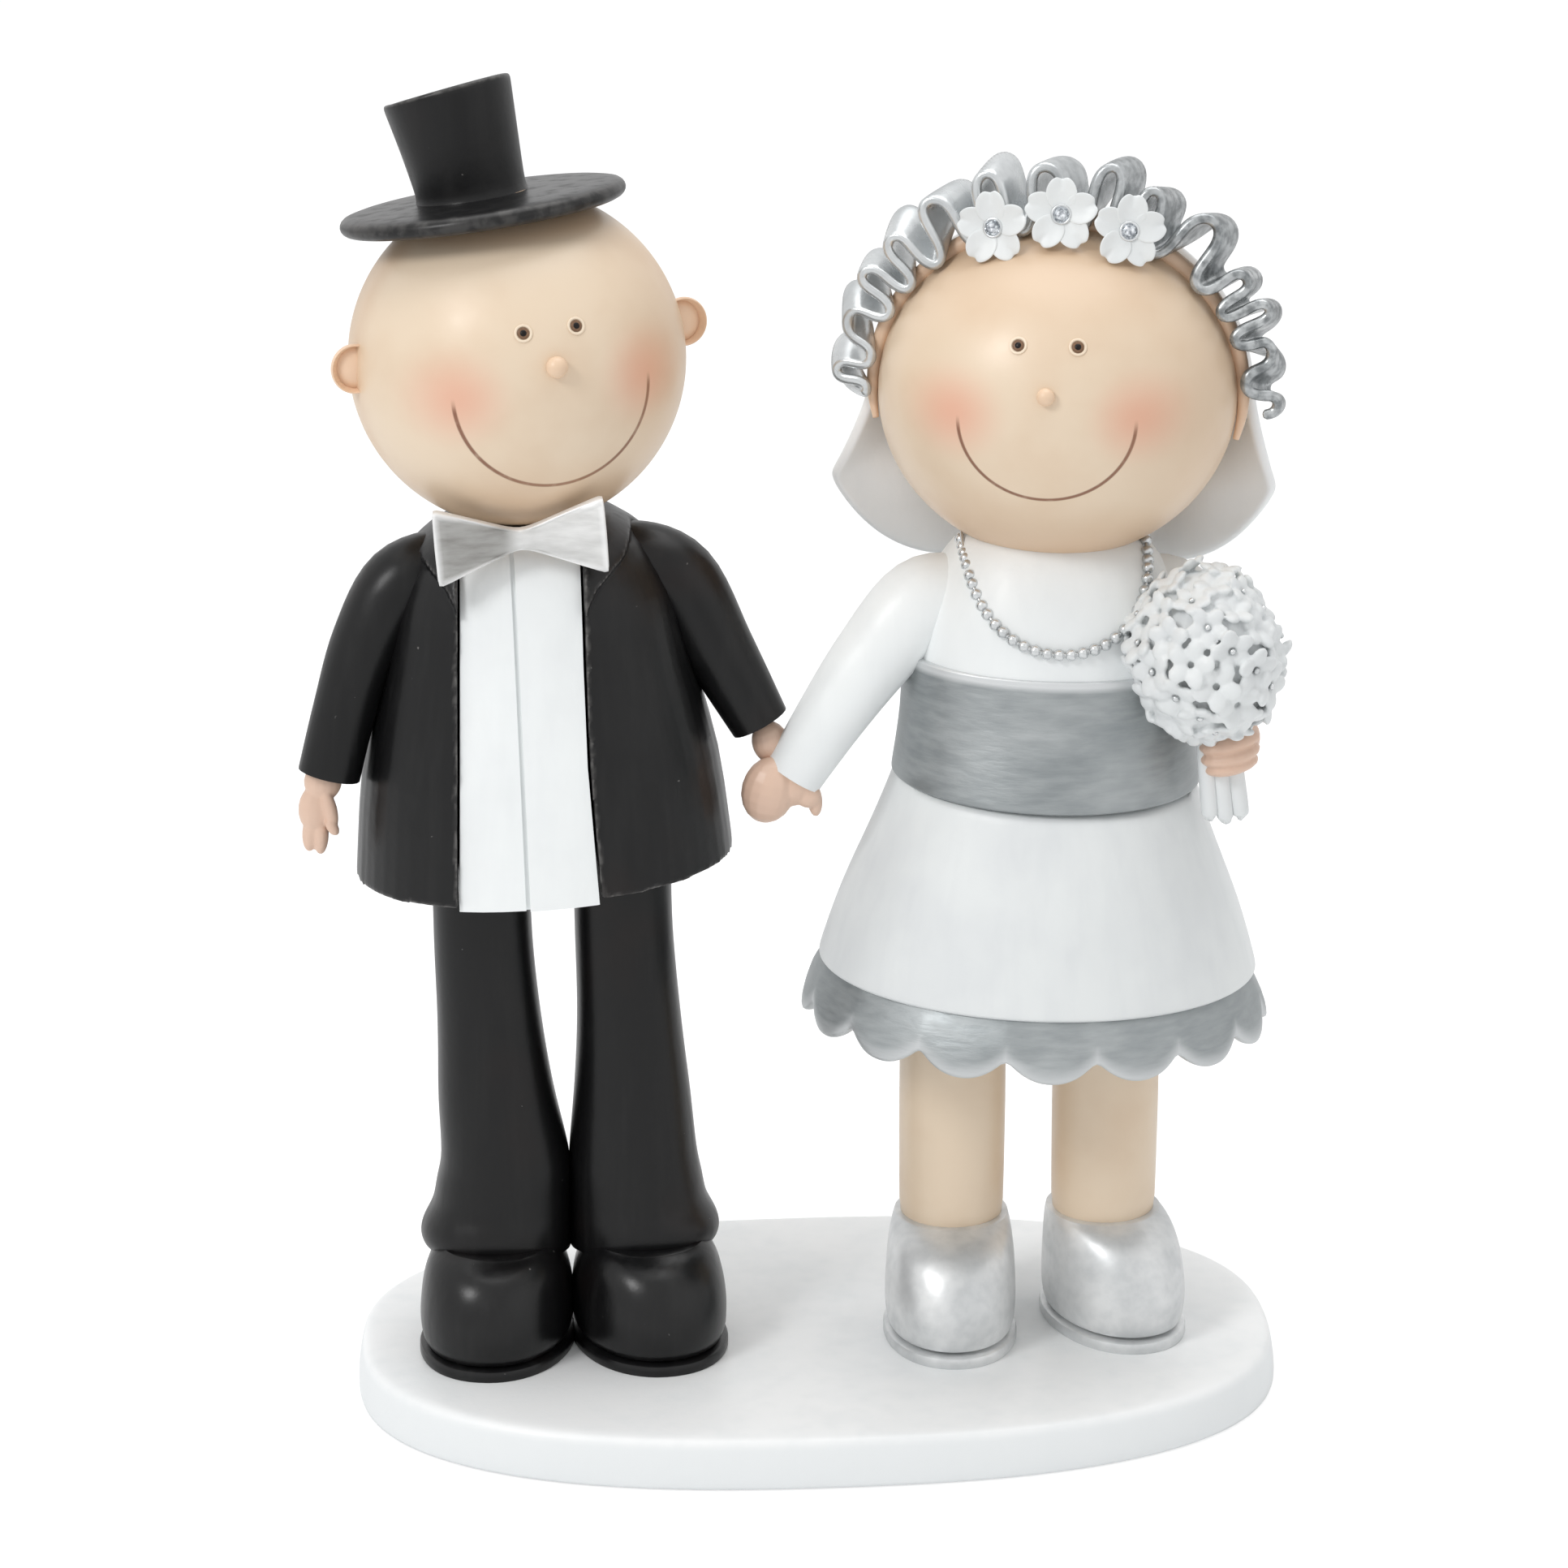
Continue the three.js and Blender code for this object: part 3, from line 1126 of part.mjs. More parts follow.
const flowerNames = { left: -1, middle: 0, right: 1 };
let garlandBody = solid(garland()).subtract(solid(brideHeadBall(glueGap)));
Object.entries(flowerNames).forEach(([name, place]) => {
  const matrix = flowerMatrix(place);
  const at = (geometry) => solid(geometry.applyMatrix4(matrix));
  const petals = petalPlate(flowerRadius, flowerThickness, 4).rotateX(Math.PI / 2)
    .translate(0, flowerThickness / 2, 0).rotateY(Math.PI / 2);
  const heart = ball(flowerRadius * 0.45, flowerThickness * 0.8, flowerRadius * 0.45, { around: 6 });
  const socket = peg([0, -flowerThickness, 0], [0, 0, 0], stoneRadius, glueGap);
  const flower = cutBy(at(petals).add(at(heart)), [at(socket), solid(brideHeadBall(glueGap))]);
  const stone = new THREE.LatheGeometry(stoneProfile, 8);
  const seat = peg([0, -flowerThickness / 2, 0], [0, flowerThickness / 2, 0], flowerRadius, glueGap);
  garlandBody = garlandBody.subtract(at(seat));
  add(brideHead, `hair_flower_${name}`, flower, whitePaint, 0.5);
  add(brideHead, `hair_stone_${name}`, at(stone), stonePaint, 0.1, 0.2);
});
add(brideHead, 'hair_garland', garlandBody, silverPaint, 0.3, 0.7);

// The veil hangs behind the head from the garland and flares to both sides
function veil() {
  const rows = 4;
  const columns = 20;
  const grid = [];
  for (let r = 0; r <= rows; r += 1) {
    const down = r / rows;
    const line = [];
    for (let c = 0; c <= columns; c += 1) {
      const around = (c / columns) * 2 - 1;
      const angle = around * (62 + 20 * down) * degree;
      const footZ = veilBackZ + (veilCornerZ - veilBackZ) * Math.abs(around) ** veilCornerPower;
      const z = veilTopZ + (footZ - veilTopZ) * down;
      const rise = Math.min(veilTopZ, Math.max(0, z)) / brideHeadHalfHeight;
      const level = Math.sqrt(1 - rise * rise);
      const opening = THREE.MathUtils.smoothstep(-z, 0, veilFlareDrop);
      const fold = veilFoldDepth * down * down * Math.cos(angle * veilFolds * 2);
      const round = new THREE.Vector2(
        (brideHeadHalfWidth + veilClearance) * level * Math.sin(angle),
        (brideHeadHalfDepth + veilClearance) * level * Math.cos(angle),
      );
      const open = new THREE.Vector2(
        veilHalfWidth * around,
        veilTipY + (veilBackDepth - veilTipY) * Math.cos((Math.PI / 2) * around) ** 2 + fold,
      );
      const plan = round.lerp(open, opening);
      line.push(new THREE.Vector3(plan.x, plan.y, z));
    }
    grid.push(line);
  }
  return sheet(grid, veilThickness);
}
const bodyInHead = [bodiceForm(glueGap), sashForm(glueGap), ...Object.values(brideSleeves)
  .map((stops) => limb(stops, { grow: glueGap }))].map((geometry) => solid(intoHead(geometry, brideHead)));
add(brideHead, 'bridal_veil', cutBy(solid(veil()), [
  solid(brideHeadBall(glueGap)),
  solid(garlandBand()),
  ...bodyInHead,
]), whitePaint, 0.55);

export default group;
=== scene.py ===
import math
import bpy
from mathutils import Matrix, Vector


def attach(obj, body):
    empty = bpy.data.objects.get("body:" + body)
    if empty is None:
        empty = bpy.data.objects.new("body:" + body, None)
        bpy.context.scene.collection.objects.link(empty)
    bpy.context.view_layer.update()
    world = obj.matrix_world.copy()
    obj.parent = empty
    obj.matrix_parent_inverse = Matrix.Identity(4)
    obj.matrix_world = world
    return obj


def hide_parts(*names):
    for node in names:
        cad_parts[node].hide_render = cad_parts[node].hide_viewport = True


# Wedding couple figurine: a groom and a bride of painted cast resin, hand in hand on a white base plate.
# Sizes are written in millimetres and turned into metres by mm. The figures face -Y.

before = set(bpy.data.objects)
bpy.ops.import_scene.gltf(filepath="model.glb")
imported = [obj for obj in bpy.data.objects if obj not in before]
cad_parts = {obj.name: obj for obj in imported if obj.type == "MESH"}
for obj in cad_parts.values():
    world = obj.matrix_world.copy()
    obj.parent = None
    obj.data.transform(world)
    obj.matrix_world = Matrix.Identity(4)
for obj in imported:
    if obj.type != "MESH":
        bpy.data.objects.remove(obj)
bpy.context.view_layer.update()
mm = 0.001
print("stage: frame loaded,", len(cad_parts), "nodes")


# Shader nodes: one class for socket sums, one for a material under way

class Wire:
    # An output socket; sums on it add Math nodes
    def __init__(self, tree, socket):
        self.tree = tree
        self.socket = socket

    def maths(self, operation, first, second=None, clamp=False):
        return addNode(self.tree, "Math", {"operation": operation, "use_clamp": clamp},
                       {place: value for place, value in enumerate((first, second)) if value is not None})

    def __add__(self, other):
        return self.maths("ADD", self, other)

    def __sub__(self, other):
        return self.maths("SUBTRACT", self, other)

    def __mul__(self, other):
        return self.maths("MULTIPLY", self, other)

    def __truediv__(self, other):
        return self.maths("DIVIDE", self, other)

    def __pow__(self, other):
        return self.maths("POWER", self, other)

    def __abs__(self):
        return self.maths("ABSOLUTE", self)

    def most(self, other):
        return self.maths("MAXIMUM", self, other)

    def ramp(self, low, high, start=0.0, end=1.0):
        # Runs smoothly from start to end as the value goes from low to high
        return addNode(self.tree, "MapRange", {"interpolation_type": "SMOOTHSTEP"}, {
            "Value": self, "From Min": low, "From Max": high, "To Min": start, "To Max": end}, "Result")


def addNode(tree, kind, settings, inputs, output=0):
    made = tree.nodes.new("ShaderNode" + kind)
    for key, value in settings.items():
        setattr(made, key, value)
    for key, value in inputs.items():
        if isinstance(value, Wire):
            tree.links.new(value.socket, made.inputs[key])
        else:
            made.inputs[key].default_value = value
    return Wire(tree, made.outputs[output])


class Finish:
    # A paint under way: its tree, its shader, and the one way to add any other node
    def __init__(self, name, slot, plain):
        self.slot = slot
        self.material = bpy.data.materials.new(name)
        self.material.use_nodes = True
        self.tree = self.material.node_tree
        self.shader = self.tree.nodes["Principled BSDF"]
        for socket, value in plain.items():
            self.shader.inputs[socket].default_value = value
        self.place = self.node("TexCoord", output="Object")

    def node(self, kind, inputs=None, output=0, **settings):
        return addNode(self.tree, kind, settings, inputs or {}, output)

    def mix(self, share, under, over):
        return self.node("Mix", {0: share, 6: under, 7: over}, 2, data_type="RGBA", clamp_factor=True)

    def noise(self, scale, detail, stretch=(1, 1, 1), rough=0.5):
        # scale counts lumps in a metre
        where = self.node("VectorMath", {0: self.place, 1: stretch}, operation="MULTIPLY")
        return self.node("TexNoise", {"Vector": where, "Scale": scale, "Detail": detail, "Roughness": rough})

    def wearAndHighlight(self):
        # How pale the edge is at each point, from wear and painted highlight, as the two edge functions
        # stored it
        return self.node("Attribute", output="Fac", attribute_name="edgeWearAndHighlight")

    def along(self, direction, start):
        # Distance in metres along a direction, from a starting point
        offset = self.node("VectorMath", {0: self.place, 1: start}, operation="SUBTRACT")
        return self.node("VectorMath", {0: offset, 1: direction}, "Value", operation="DOT_PRODUCT")

    def bump(self, height, distance):
        self.feed("Normal", self.node("Bump", {"Height": height, "Distance": distance, "Strength": 1.0}))

    def feed(self, socket, wire):
        self.tree.links.new(wire.socket, self.shader.inputs[socket])


# Camera, floor and light

cameraSettings = {"place": (-0.0448, -0.5215, 0.2414), "aim": (-0.0038, 0.0, 0.0714), "lens": 113.2,
                  "sensor": 36.0, "near": 0.01, "far": 20}


def stand(name, data, s):
    # Puts the camera or a lamp at its place and aims it
    thing = bpy.data.objects.new(name, data)
    bpy.context.scene.collection.objects.link(thing)
    thing.location = s["place"]
    look = Vector(s["aim"]) - Vector(s["place"])
    thing.rotation_euler = look.to_track_quat("-Z", "Y").to_euler()
    return thing


def makeCamera(s):
    data = bpy.data.cameras.new("camera")
    data.lens, data.sensor_width = s["lens"], s["sensor"]
    data.clip_start, data.clip_end = s["near"], s["far"]
    bpy.context.scene.camera = stand("camera", data, s)


lampSettings = {
    "key": {"place": (-0.6, -0.5, 0.68), "size": 0.3, "power": 2.85, "aim": (0.0, 0.0, 0.08)},
    "fill": {"place": (0.7, -0.6, 0.4), "size": 0.8, "power": 0.35, "aim": (0.0, 0.0, 0.07)},
    "top": {"place": (0.05, 0.1, 0.85), "size": 0.8, "power": 3.1, "aim": (0.0, 0.0, 0.0)},
}


def makeLamp(name, s):
    data = bpy.data.lights.new(name, "AREA")
    data.shape = "DISK"
    data.size, data.energy = s["size"], s["power"]
    stand(name, data, s)


worldSettings = {"light": 0.6, "white": (1, 1, 1, 1)}


def makeWorld(s):
    world = bpy.data.worlds.new("studio")
    bpy.context.scene.world = world
    world.use_nodes = True
    tree = world.node_tree
    light = addNode(tree, "Background", {}, {"Color": s["white"], "Strength": s["light"]})
    plain = addNode(tree, "Background", {}, {"Color": s["white"], "Strength": 1})
    # Rays from the camera, in gloss and through glass see plain white
    path = tree.nodes.new("ShaderNodeLightPath")
    seen = Wire(tree, path.outputs["Is Camera Ray"])
    for name in ("Is Glossy Ray", "Is Transmission Ray"):
        seen = seen.maths("ADD", seen, Wire(tree, path.outputs[name]), True)
    both = addNode(tree, "MixShader", {}, {0: seen, 1: light, 2: plain})
    tree.links.new(both.socket, tree.nodes["World Output"].inputs["Surface"])


# The share says how much of what the camera sees of the floor is its own glow
floorSettings = {"radius": 3.0, "colour": (0.93, 0.935, 0.94, 1), "rough": 0.9, "share": 0.5, "glow": 1.35}


def makeFloor(s):
    bpy.ops.mesh.primitive_circle_add(vertices=96, radius=s["radius"], fill_type="NGON", location=(0, 0, 0))
    floor = bpy.context.object
    floor.name = "floor"
    paper = Finish("floorPaper", "", {"Base Color": s["colour"], "Roughness": s["rough"]})
    glow = paper.node("Emission", {"Strength": s["glow"]})
    share = paper.node("LightPath", output="Is Camera Ray") * s["share"]
    both = paper.node("MixShader", {0: share, 1: Wire(paper.tree, paper.shader.outputs[0]), 2: glow})
    paper.tree.links.new(both.socket, paper.tree.nodes["Material Output"].inputs["Surface"])
    floor.data.materials.append(paper.material)


makeCamera(cameraSettings)
for lampName, lampParts in lampSettings.items():
    makeLamp(lampName, lampParts)
makeWorld(worldSettings)
makeFloor(floorSettings)
bpy.context.scene.view_settings.view_transform = "Standard"
print("stage: camera, lamps and floor")


# Paints

def tone(red, green, blue):
    # An everyday 0 to 255 colour as the linear colour that nodes use
    def straight(part):
        part = part / 255
        return part / 12.92 if part <= 0.04045 else ((part + 0.055) / 1.055) ** 2.4
    return (straight(red), straight(green), straight(blue), 1)


whiteSettings = {"colour": tone(230, 233, 233), "shade": tone(216, 219, 221), "rough": 0.42,
                 "grain": 0.00003}


def makeWhite(name, s):
    paint = Finish(name, "white_paint", {"Roughness": s["rough"], "Specular IOR Level": 0.4})
    patches = paint.noise(90, 3).ramp(0.35, 0.7)
    streaks = paint.noise(420, 4, (1, 1, 0.12)).ramp(0.4, 0.75)
    colour = paint.mix(patches * 0.45 + streaks * 0.25, s["colour"], s["shade"])
    # Painted shade: below a given height the colour runs to the shade colour, darkening the base plate's side
    if "below" in s:
        side = paint.along((0, 0, 1), (0, 0, s["below"])).ramp(-0.0012, 0.0, 0.85, 0)
        colour = paint.mix(side, colour, s["shade"])
    paint.feed("Base Color", colour)
    paint.feed("Roughness", streaks * 0.12 + (s["rough"] - 0.05))
    paint.bump(paint.noise(1500, 3) * 0.6 + paint.noise(260, 2) * 0.9, s["grain"])
    return paint


blackSettings = {
    "colour": tone(15, 15, 16),
    "dusty": tone(34, 34, 34),
    "brown": tone(42, 28, 24),
    "speck": tone(130, 128, 125),
    "wornAndLit": tone(112, 110, 108),
    "grain": 0.00004,
}


def makeBlack(name, slot, s, rough, sheen):
    paint = Finish(name, slot, {"Roughness": rough, "Specular IOR Level": sheen})
    streaks = paint.noise(500, 5, (1, 1, 0.1)).ramp(0.45, 0.8)
    clouds = paint.noise(60, 2).ramp(0.55, 0.8)
    specks = paint.noise(1100, 1).ramp(0.8, 0.84)
    colour = paint.mix(streaks * 0.4, s["colour"], s["dusty"])
    colour = paint.mix(clouds * 0.35, colour, s["brown"])
    colour = paint.mix(specks * 0.6, colour, s["speck"])
    # Pale edges: partly wear, partly painted highlight
    colour = paint.mix(paint.wearAndHighlight() * paint.noise(700, 3).ramp(0.35, 0.65, 0.15, 0.9), colour, s["wornAndLit"])
    paint.feed("Base Color", colour)
    paint.feed("Roughness", streaks * 0.14 + (rough - 0.06))
    paint.bump(paint.noise(900, 3) * 0.5 + paint.noise(220, 2), s["grain"])
    return paint


skinSettings = {
    "colour": tone(230, 210, 185),
    "tan": tone(203, 165, 128),
    "blush": tone(230, 140, 110),
    "line": tone(122, 70, 42),
    "rough": 0.37,
    "grain": 0.00002,
}


def makeSkin(name, s, face=None):
    paint = Finish(name, "skin_paint", {"Roughness": s["rough"], "Specular IOR Level": 0.55})
    patches = paint.noise(110, 3).ramp(0.4, 0.75)
    colour = paint.mix(patches * 0.18, s["colour"], s["tan"])
    if face:
        colour = faceOn(paint, s, face, colour)
    paint.feed("Base Color", colour)
    paint.feed("Roughness", patches * 0.08 + (s["rough"] - 0.03))
    paint.bump(paint.noise(1400, 3) * 0.5 + paint.noise(200, 2), s["grain"])
    return paint


def faceOn(paint, s, face, colour):
    # Blush, a smile, and tan washes that are mostly painted shade, laid out on the ball of the head in the
    # head's own directions
    centre, half = Vector(face["at"]) * mm, face["half"]
    across, ahead, up = (paint.along(face["turn"] @ Vector(way), centre) / (reach * mm)
                         for way, reach in zip(((1, 0, 0), (0, -1, 0), (0, 0, 1)), half))
    front = ahead.ramp(0.0, 0.1)
    for side in (-1, 1):
        gapX = across - side * face["blushAcross"]
        gapZ = up - face["blushUp"]
        reach = (gapX * gapX + gapZ * gapZ) ** 0.5
        spot = reach.ramp(0.0, face["blushReach"], 1, 0) * front
        colour = paint.mix(spot * face["blushShare"], colour, s["blush"])
    low = up - face["smileUp"]
    ring = abs((across * across + low * low) ** 0.5 - face["smileReach"]) * half[0]
    ends = low.ramp(-0.08, 0.02, 1, 0)
    line = ring.ramp(face["smileWidth"] * 0.35, face["smileWidth"], 1, 0) * ends * front
    wobble = paint.noise(900, 2).ramp(0.2, 0.5, 0.75, 1)
    colour = paint.mix(line * wobble * 0.9, colour, s["line"])
    under = up.ramp(-1.0, -0.35, 1, 0)  # painted shade under the chin, where the head meets the collar
    rim = ahead.ramp(0.06, 0.3, 1, 0) * 0.45  # partly the figure's airbrushed tan, partly painted shade where the head meets the hair or the ears
    # Painted shadow under the hat's brim; on the bride, painted shade over the top of the head under the
    # garland and flowers
    brim = up.ramp(*face["brim"]) * 0.65
    far = across.ramp(0.2, 1.0) * 0.45  # painted shade over the side away from the light, partly an airbrushed tan wash
    return paint.mix(under.most(rim).most(brim).most(far) * 0.75, colour, s["tan"])


silverSettings = {
    "colour": tone(176, 180, 181),
    "dark": tone(134, 140, 142),
    "light": tone(222, 224, 225),
    "rough": 0.46,
    "metal": 0.55,
    "grain": 0.00004,
}


def makeBrushed(name, s, dim=None):
    # Silver paint laid on with a brush: fine level streaks, paler at the edges from wear and painted
    # highlight, and with painted shade to the left of a given x
    paint = Finish(name, "silver_brushed_paint", {"Roughness": s["rough"], "Metallic": s["metal"]})
    fine = paint.noise(240, 5, (1, 1, 5), 0.55).ramp(0.2, 0.85)
    broad = paint.noise(90, 3, (1, 1, 1.6)).ramp(0.3, 0.75)
    colour = paint.mix(fine * 0.5 + broad * 0.45 + 0.05, s["dark"], s["colour"])
    if dim:
        side = paint.along((1, 0, 0), dim).ramp(-0.002, 0.0, 0.75, 0)
        colour = paint.mix(side * (fine * 0.6 + 0.4), colour, s["dim"])
    colour = paint.mix(paint.wearAndHighlight(), colour, s["light"])
    paint.feed("Base Color", colour)
    paint.feed("Roughness", fine * 0.18 + (s["rough"] - 0.08))
    paint.bump(fine + paint.noise(1300, 2) * 0.4, s["grain"])
    return paint


def makeGlossSilver(name, s, metal, rough):
    paint = Finish(name, "silver_gloss_paint", {"Metallic": metal, "Roughness": rough})
    clouds = paint.noise(110, 3).ramp(0.35, 0.7)
    fine = paint.noise(900, 4).ramp(0.35, 0.7)
    colour = paint.mix(clouds * 0.5 + fine * 0.15, s["light"], s["colour"])
    # Painted shade: right of the middle x the colour runs to the dark one, as on a side away from the light
    if "middle" in s:
        side = paint.along((1, 0, 0), (s["middle"], 0, 0)).ramp(-0.01, 0.018)
        colour = paint.mix(side * (fine * 0.65 + 0.2), colour, s["dark"])
    paint.feed("Base Color", colour)
    paint.feed("Roughness", clouds * 0.08 + (rough - 0.04))
    paint.bump(paint.noise(300, 2) + fine * 0.3, s["grain"] / 4)
    return paint


stoneSettings = {"colour": (0.9, 0.93, 0.97, 1), "dark": (0.25, 0.27, 0.3, 1), "rough": 0.04}


def makeStone(s):
    paint = Finish("cutStone", "cut_stone", {"Metallic": 0.85, "Roughness": s["rough"]})
    # Painted glints: the colour flickers between bright and dark facets in place of reflections
    paintedGlints = paint.noise(2600, 1).ramp(0.3, 0.7)
    paint.feed("Base Color", paint.mix(paintedGlints, s["dark"], s["colour"]))
    return paint


def makeInk(name, dark, light):
    paint = Finish(name, "black_gloss_paint", {"Roughness": 0.3, "Specular IOR Level": 0.2})
    paint.feed("Base Color", paint.mix(paint.noise(3000, 1), dark, light))
    return paint


white = makeWhite("whitePaint", whiteSettings)
# Paler copies of the same white paint are painted light: on the base plate, the veil, and the shirt, bodice
# and sleeves, which the lamps leave dim
paintedLightWhiteSettings = {**whiteSettings, "colour": tone(248, 249, 249), "shade": tone(240, 242, 243)}
basePaintedLightAndShade = makeWhite("basePaintedLightAndShade", {**paintedLightWhiteSettings, "shade": tone(236, 239, 240), "below": 0.0058})
veilPaintedLightWhite = makeWhite("veilPaintedLightWhite", paintedLightWhiteSettings)
clothPaintedLightTones = {"colour": tone(242, 245, 245), "shade": tone(231, 234, 235)}
clothPaintedLightWhite = makeWhite("clothPaintedLightWhite", {**whiteSettings, **clothPaintedLightTones})
black = makeBlack("blackPaint", "black_paint", blackSettings, 0.38, 0.3)
shoeBlack = makeBlack("shoeBlack", "black_gloss_paint", blackSettings, 0.34, 0.34)
skin = makeSkin("skinPaint", skinSettings)
brushed = makeBrushed("brushedSilver", silverSettings)
# The bow tie's left wing gets painted shade: darker to the left of the tie's middle
tieTones = {"dark": tone(190, 190, 188), "colour": tone(246, 246, 245), "light": tone(250, 250, 250),
            "dim": tone(84, 80, 71), "metal": 0.3}
tieSilver = makeBrushed("tieSilver", {**silverSettings, **tieTones}, (-33 * mm, 0, 0))
gloss = makeGlossSilver("glossSilver", silverSettings, 0.8, 0.26)
# The garland's right side is darkened by painted shade, right of middle
ribbonTones = {"colour": tone(160, 164, 166), "light": tone(210, 213, 214), "dark": tone(102, 106, 108),
               "middle": 0.0262}
ribbonSilver = makeGlossSilver("ribbonSilver", {**silverSettings, **ribbonTones}, 0.7, 0.28)
shoeTones = {"colour": tone(176, 180, 182), "light": tone(230, 231, 231)}
pearl = makeGlossSilver("pearlSilver", {**silverSettings, **shoeTones}, 0.45, 0.39)
stone = makeStone(stoneSettings)
ink = makeInk("eyeInk", tone(14, 12, 12), tone(34, 28, 26))
iris = makeInk("eyeBrown", tone(104, 78, 60), tone(142, 112, 88))
print("stage: paints")


# Ways of making, used by many pieces

def calm():
    if bpy.context.object and bpy.context.object.mode != "OBJECT":
        bpy.ops.object.mode_set(mode="OBJECT")
    bpy.ops.object.select_all(action="DESELECT")


def only(piece):
    calm()
    piece.select_set(True)
    bpy.context.view_layer.objects.active = piece


def edit(piece):
    only(piece)
    bpy.ops.object.mode_set(mode="EDIT")
    bpy.ops.mesh.select_mode(type="FACE")
    bpy.ops.mesh.select_all(action="DESELECT")


def done():
    bpy.ops.object.mode_set(mode="OBJECT")


def pickFaces(piece, wanted):
    # Selects the faces that a test on centre (in mm) and normal wants, and stays in edit mode
    bpy.ops.mesh.select_all(action="DESELECT")
    bpy.ops.object.mode_set(mode="OBJECT")
    for face in piece.data.polygons:
        face.select = bool(wanted(face.center / mm, face.normal))
    bpy.ops.object.mode_set(mode="EDIT")


def setIn(by, push=(0, 0, 0)):
    # Insets the chosen faces and then moves them
    bpy.ops.mesh.inset(thickness=by * mm)
    bpy.ops.transform.translate(value=tuple(v * mm for v in push))


def modify(piece, kind, **settings):
    only(piece)
    modifier = piece.modifiers.new(kind.lower(), kind)
    for key, value in settings.items():
        setattr(modifier, key, value)
    bpy.ops.object.modifier_apply(modifier=modifier.name)


def rounded(piece, levels=1):
    # Wide many-sided ends are split into triangles first, which keeps the rounding quick
    modify(piece, "TRIANGULATE", min_vertices=60)
    modify(piece, "SUBSURF", levels=levels, render_levels=levels)


def melted(piece, voxel, rounds, strength=0.5):
    # Runs everything in a piece together with soft inside corners, as a cast has
    modify(piece, "REMESH", mode="VOXEL", voxel_size=voxel * mm, adaptivity=0.0)
    modify(piece, "SMOOTH", iterations=rounds, factor=strength)


def cut(piece, tool, how="DIFFERENCE"):
    modify(piece, "BOOLEAN", operation=how, solver="EXACT", object=tool)
    bpy.data.objects.remove(tool, do_unlink=True)


def merged(pieces):
    calm()
    for piece in pieces:
        piece.select_set(True)
    bpy.context.view_layer.objects.active = pieces[0]
    bpy.ops.object.join()
    return pieces[0]


def spin(degrees, axis):
    return Matrix.Rotation(math.radians(degrees), 4, axis)


def placeAt(place):
    return Matrix.Translation(Vector(place) * mm)


def facing(direction):
    # Turns what points up into a direction
    return direction.to_track_quat("Z", "Y").to_matrix().to_4x4()


def fixPlace(piece):
    only(piece)
    bpy.ops.object.transform_apply(location=True, rotation=True, scale=True)


def moveTo(piece, matrix):
    # Moves a piece that was made about the origin, and keeps its place in its mesh
    piece.matrix_world = matrix
    fixPlace(piece)
    return piece


def facesOut(piece):
    edit(piece)
    bpy.ops.mesh.select_all(action="SELECT")
    bpy.ops.mesh.normals_make_consistent(inside=False)
    done()


def finish(piece, name, paint, nodes=(), smooth=True):
    fixPlace(piece)
    piece.name = name
    piece.data.name = name
    piece.data.materials.clear()
    piece.data.materials.append(paint.material)
    only(piece)
    if smooth is True:
        bpy.ops.object.shade_smooth()
    elif smooth:
        bpy.ops.object.shade_smooth_by_angle(angle=math.radians(smooth))
    else:
        bpy.ops.object.shade_flat()
    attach(piece, "root")
    if nodes:
        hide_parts(*nodes)
    return piece


def finishSide(piece, who, side, part, paint, smooth=True):
    # For what a figure has on its left and its right
    finish(piece, who + side.capitalize() + part.capitalize(), paint, [who + "_" + side + "_" + part], smooth)


def blended(rows, steps):
    # More rows between the given ones, on a smooth curve through them all
    out = []
    for place in range(len(rows) - 1):
        four = [rows[max(0, min(len(rows) - 1, place + by))] for by in (-1, 0, 1, 2)]
        for step in range(steps):
            t = step / steps
            row = []
            for a, b, c, d in zip(*four):
                row.append(0.5 * (2 * b + (c - a) * t + (2 * a - 5 * b + 4 * c - d) * t * t
                                  + (3 * b - a - 3 * c + d) * t ** 3))
            out.append(tuple(row))
    out.append(tuple(rows[-1]))
    return out


def upright(rows, x=0, y=0):
    # Tower rows about one axis, from (z, half width, half depth) or (z, radius)
    return [(x, y, row[0], row[1], row[-1], 0, 0) for row in rows]


def shifted(rows, by):
    return [tuple(a + b for a, b in zip(row[:3], by)) + tuple(row[3:]) for row in rows]


def squared(piece, power):
    # Presses a flat circle towards a rounded oblong; 2 leaves it round
    for vertex in piece.data.vertices:
        reach = math.hypot(vertex.co.x, vertex.co.y)
        cos, sin = abs(vertex.co.x) / reach, abs(vertex.co.y) / reach
        vertex.co.x = math.copysign(reach * cos ** (2 / power), vertex.co.x)
        vertex.co.y = math.copysign(reach * sin ** (2 / power), vertex.co.y)


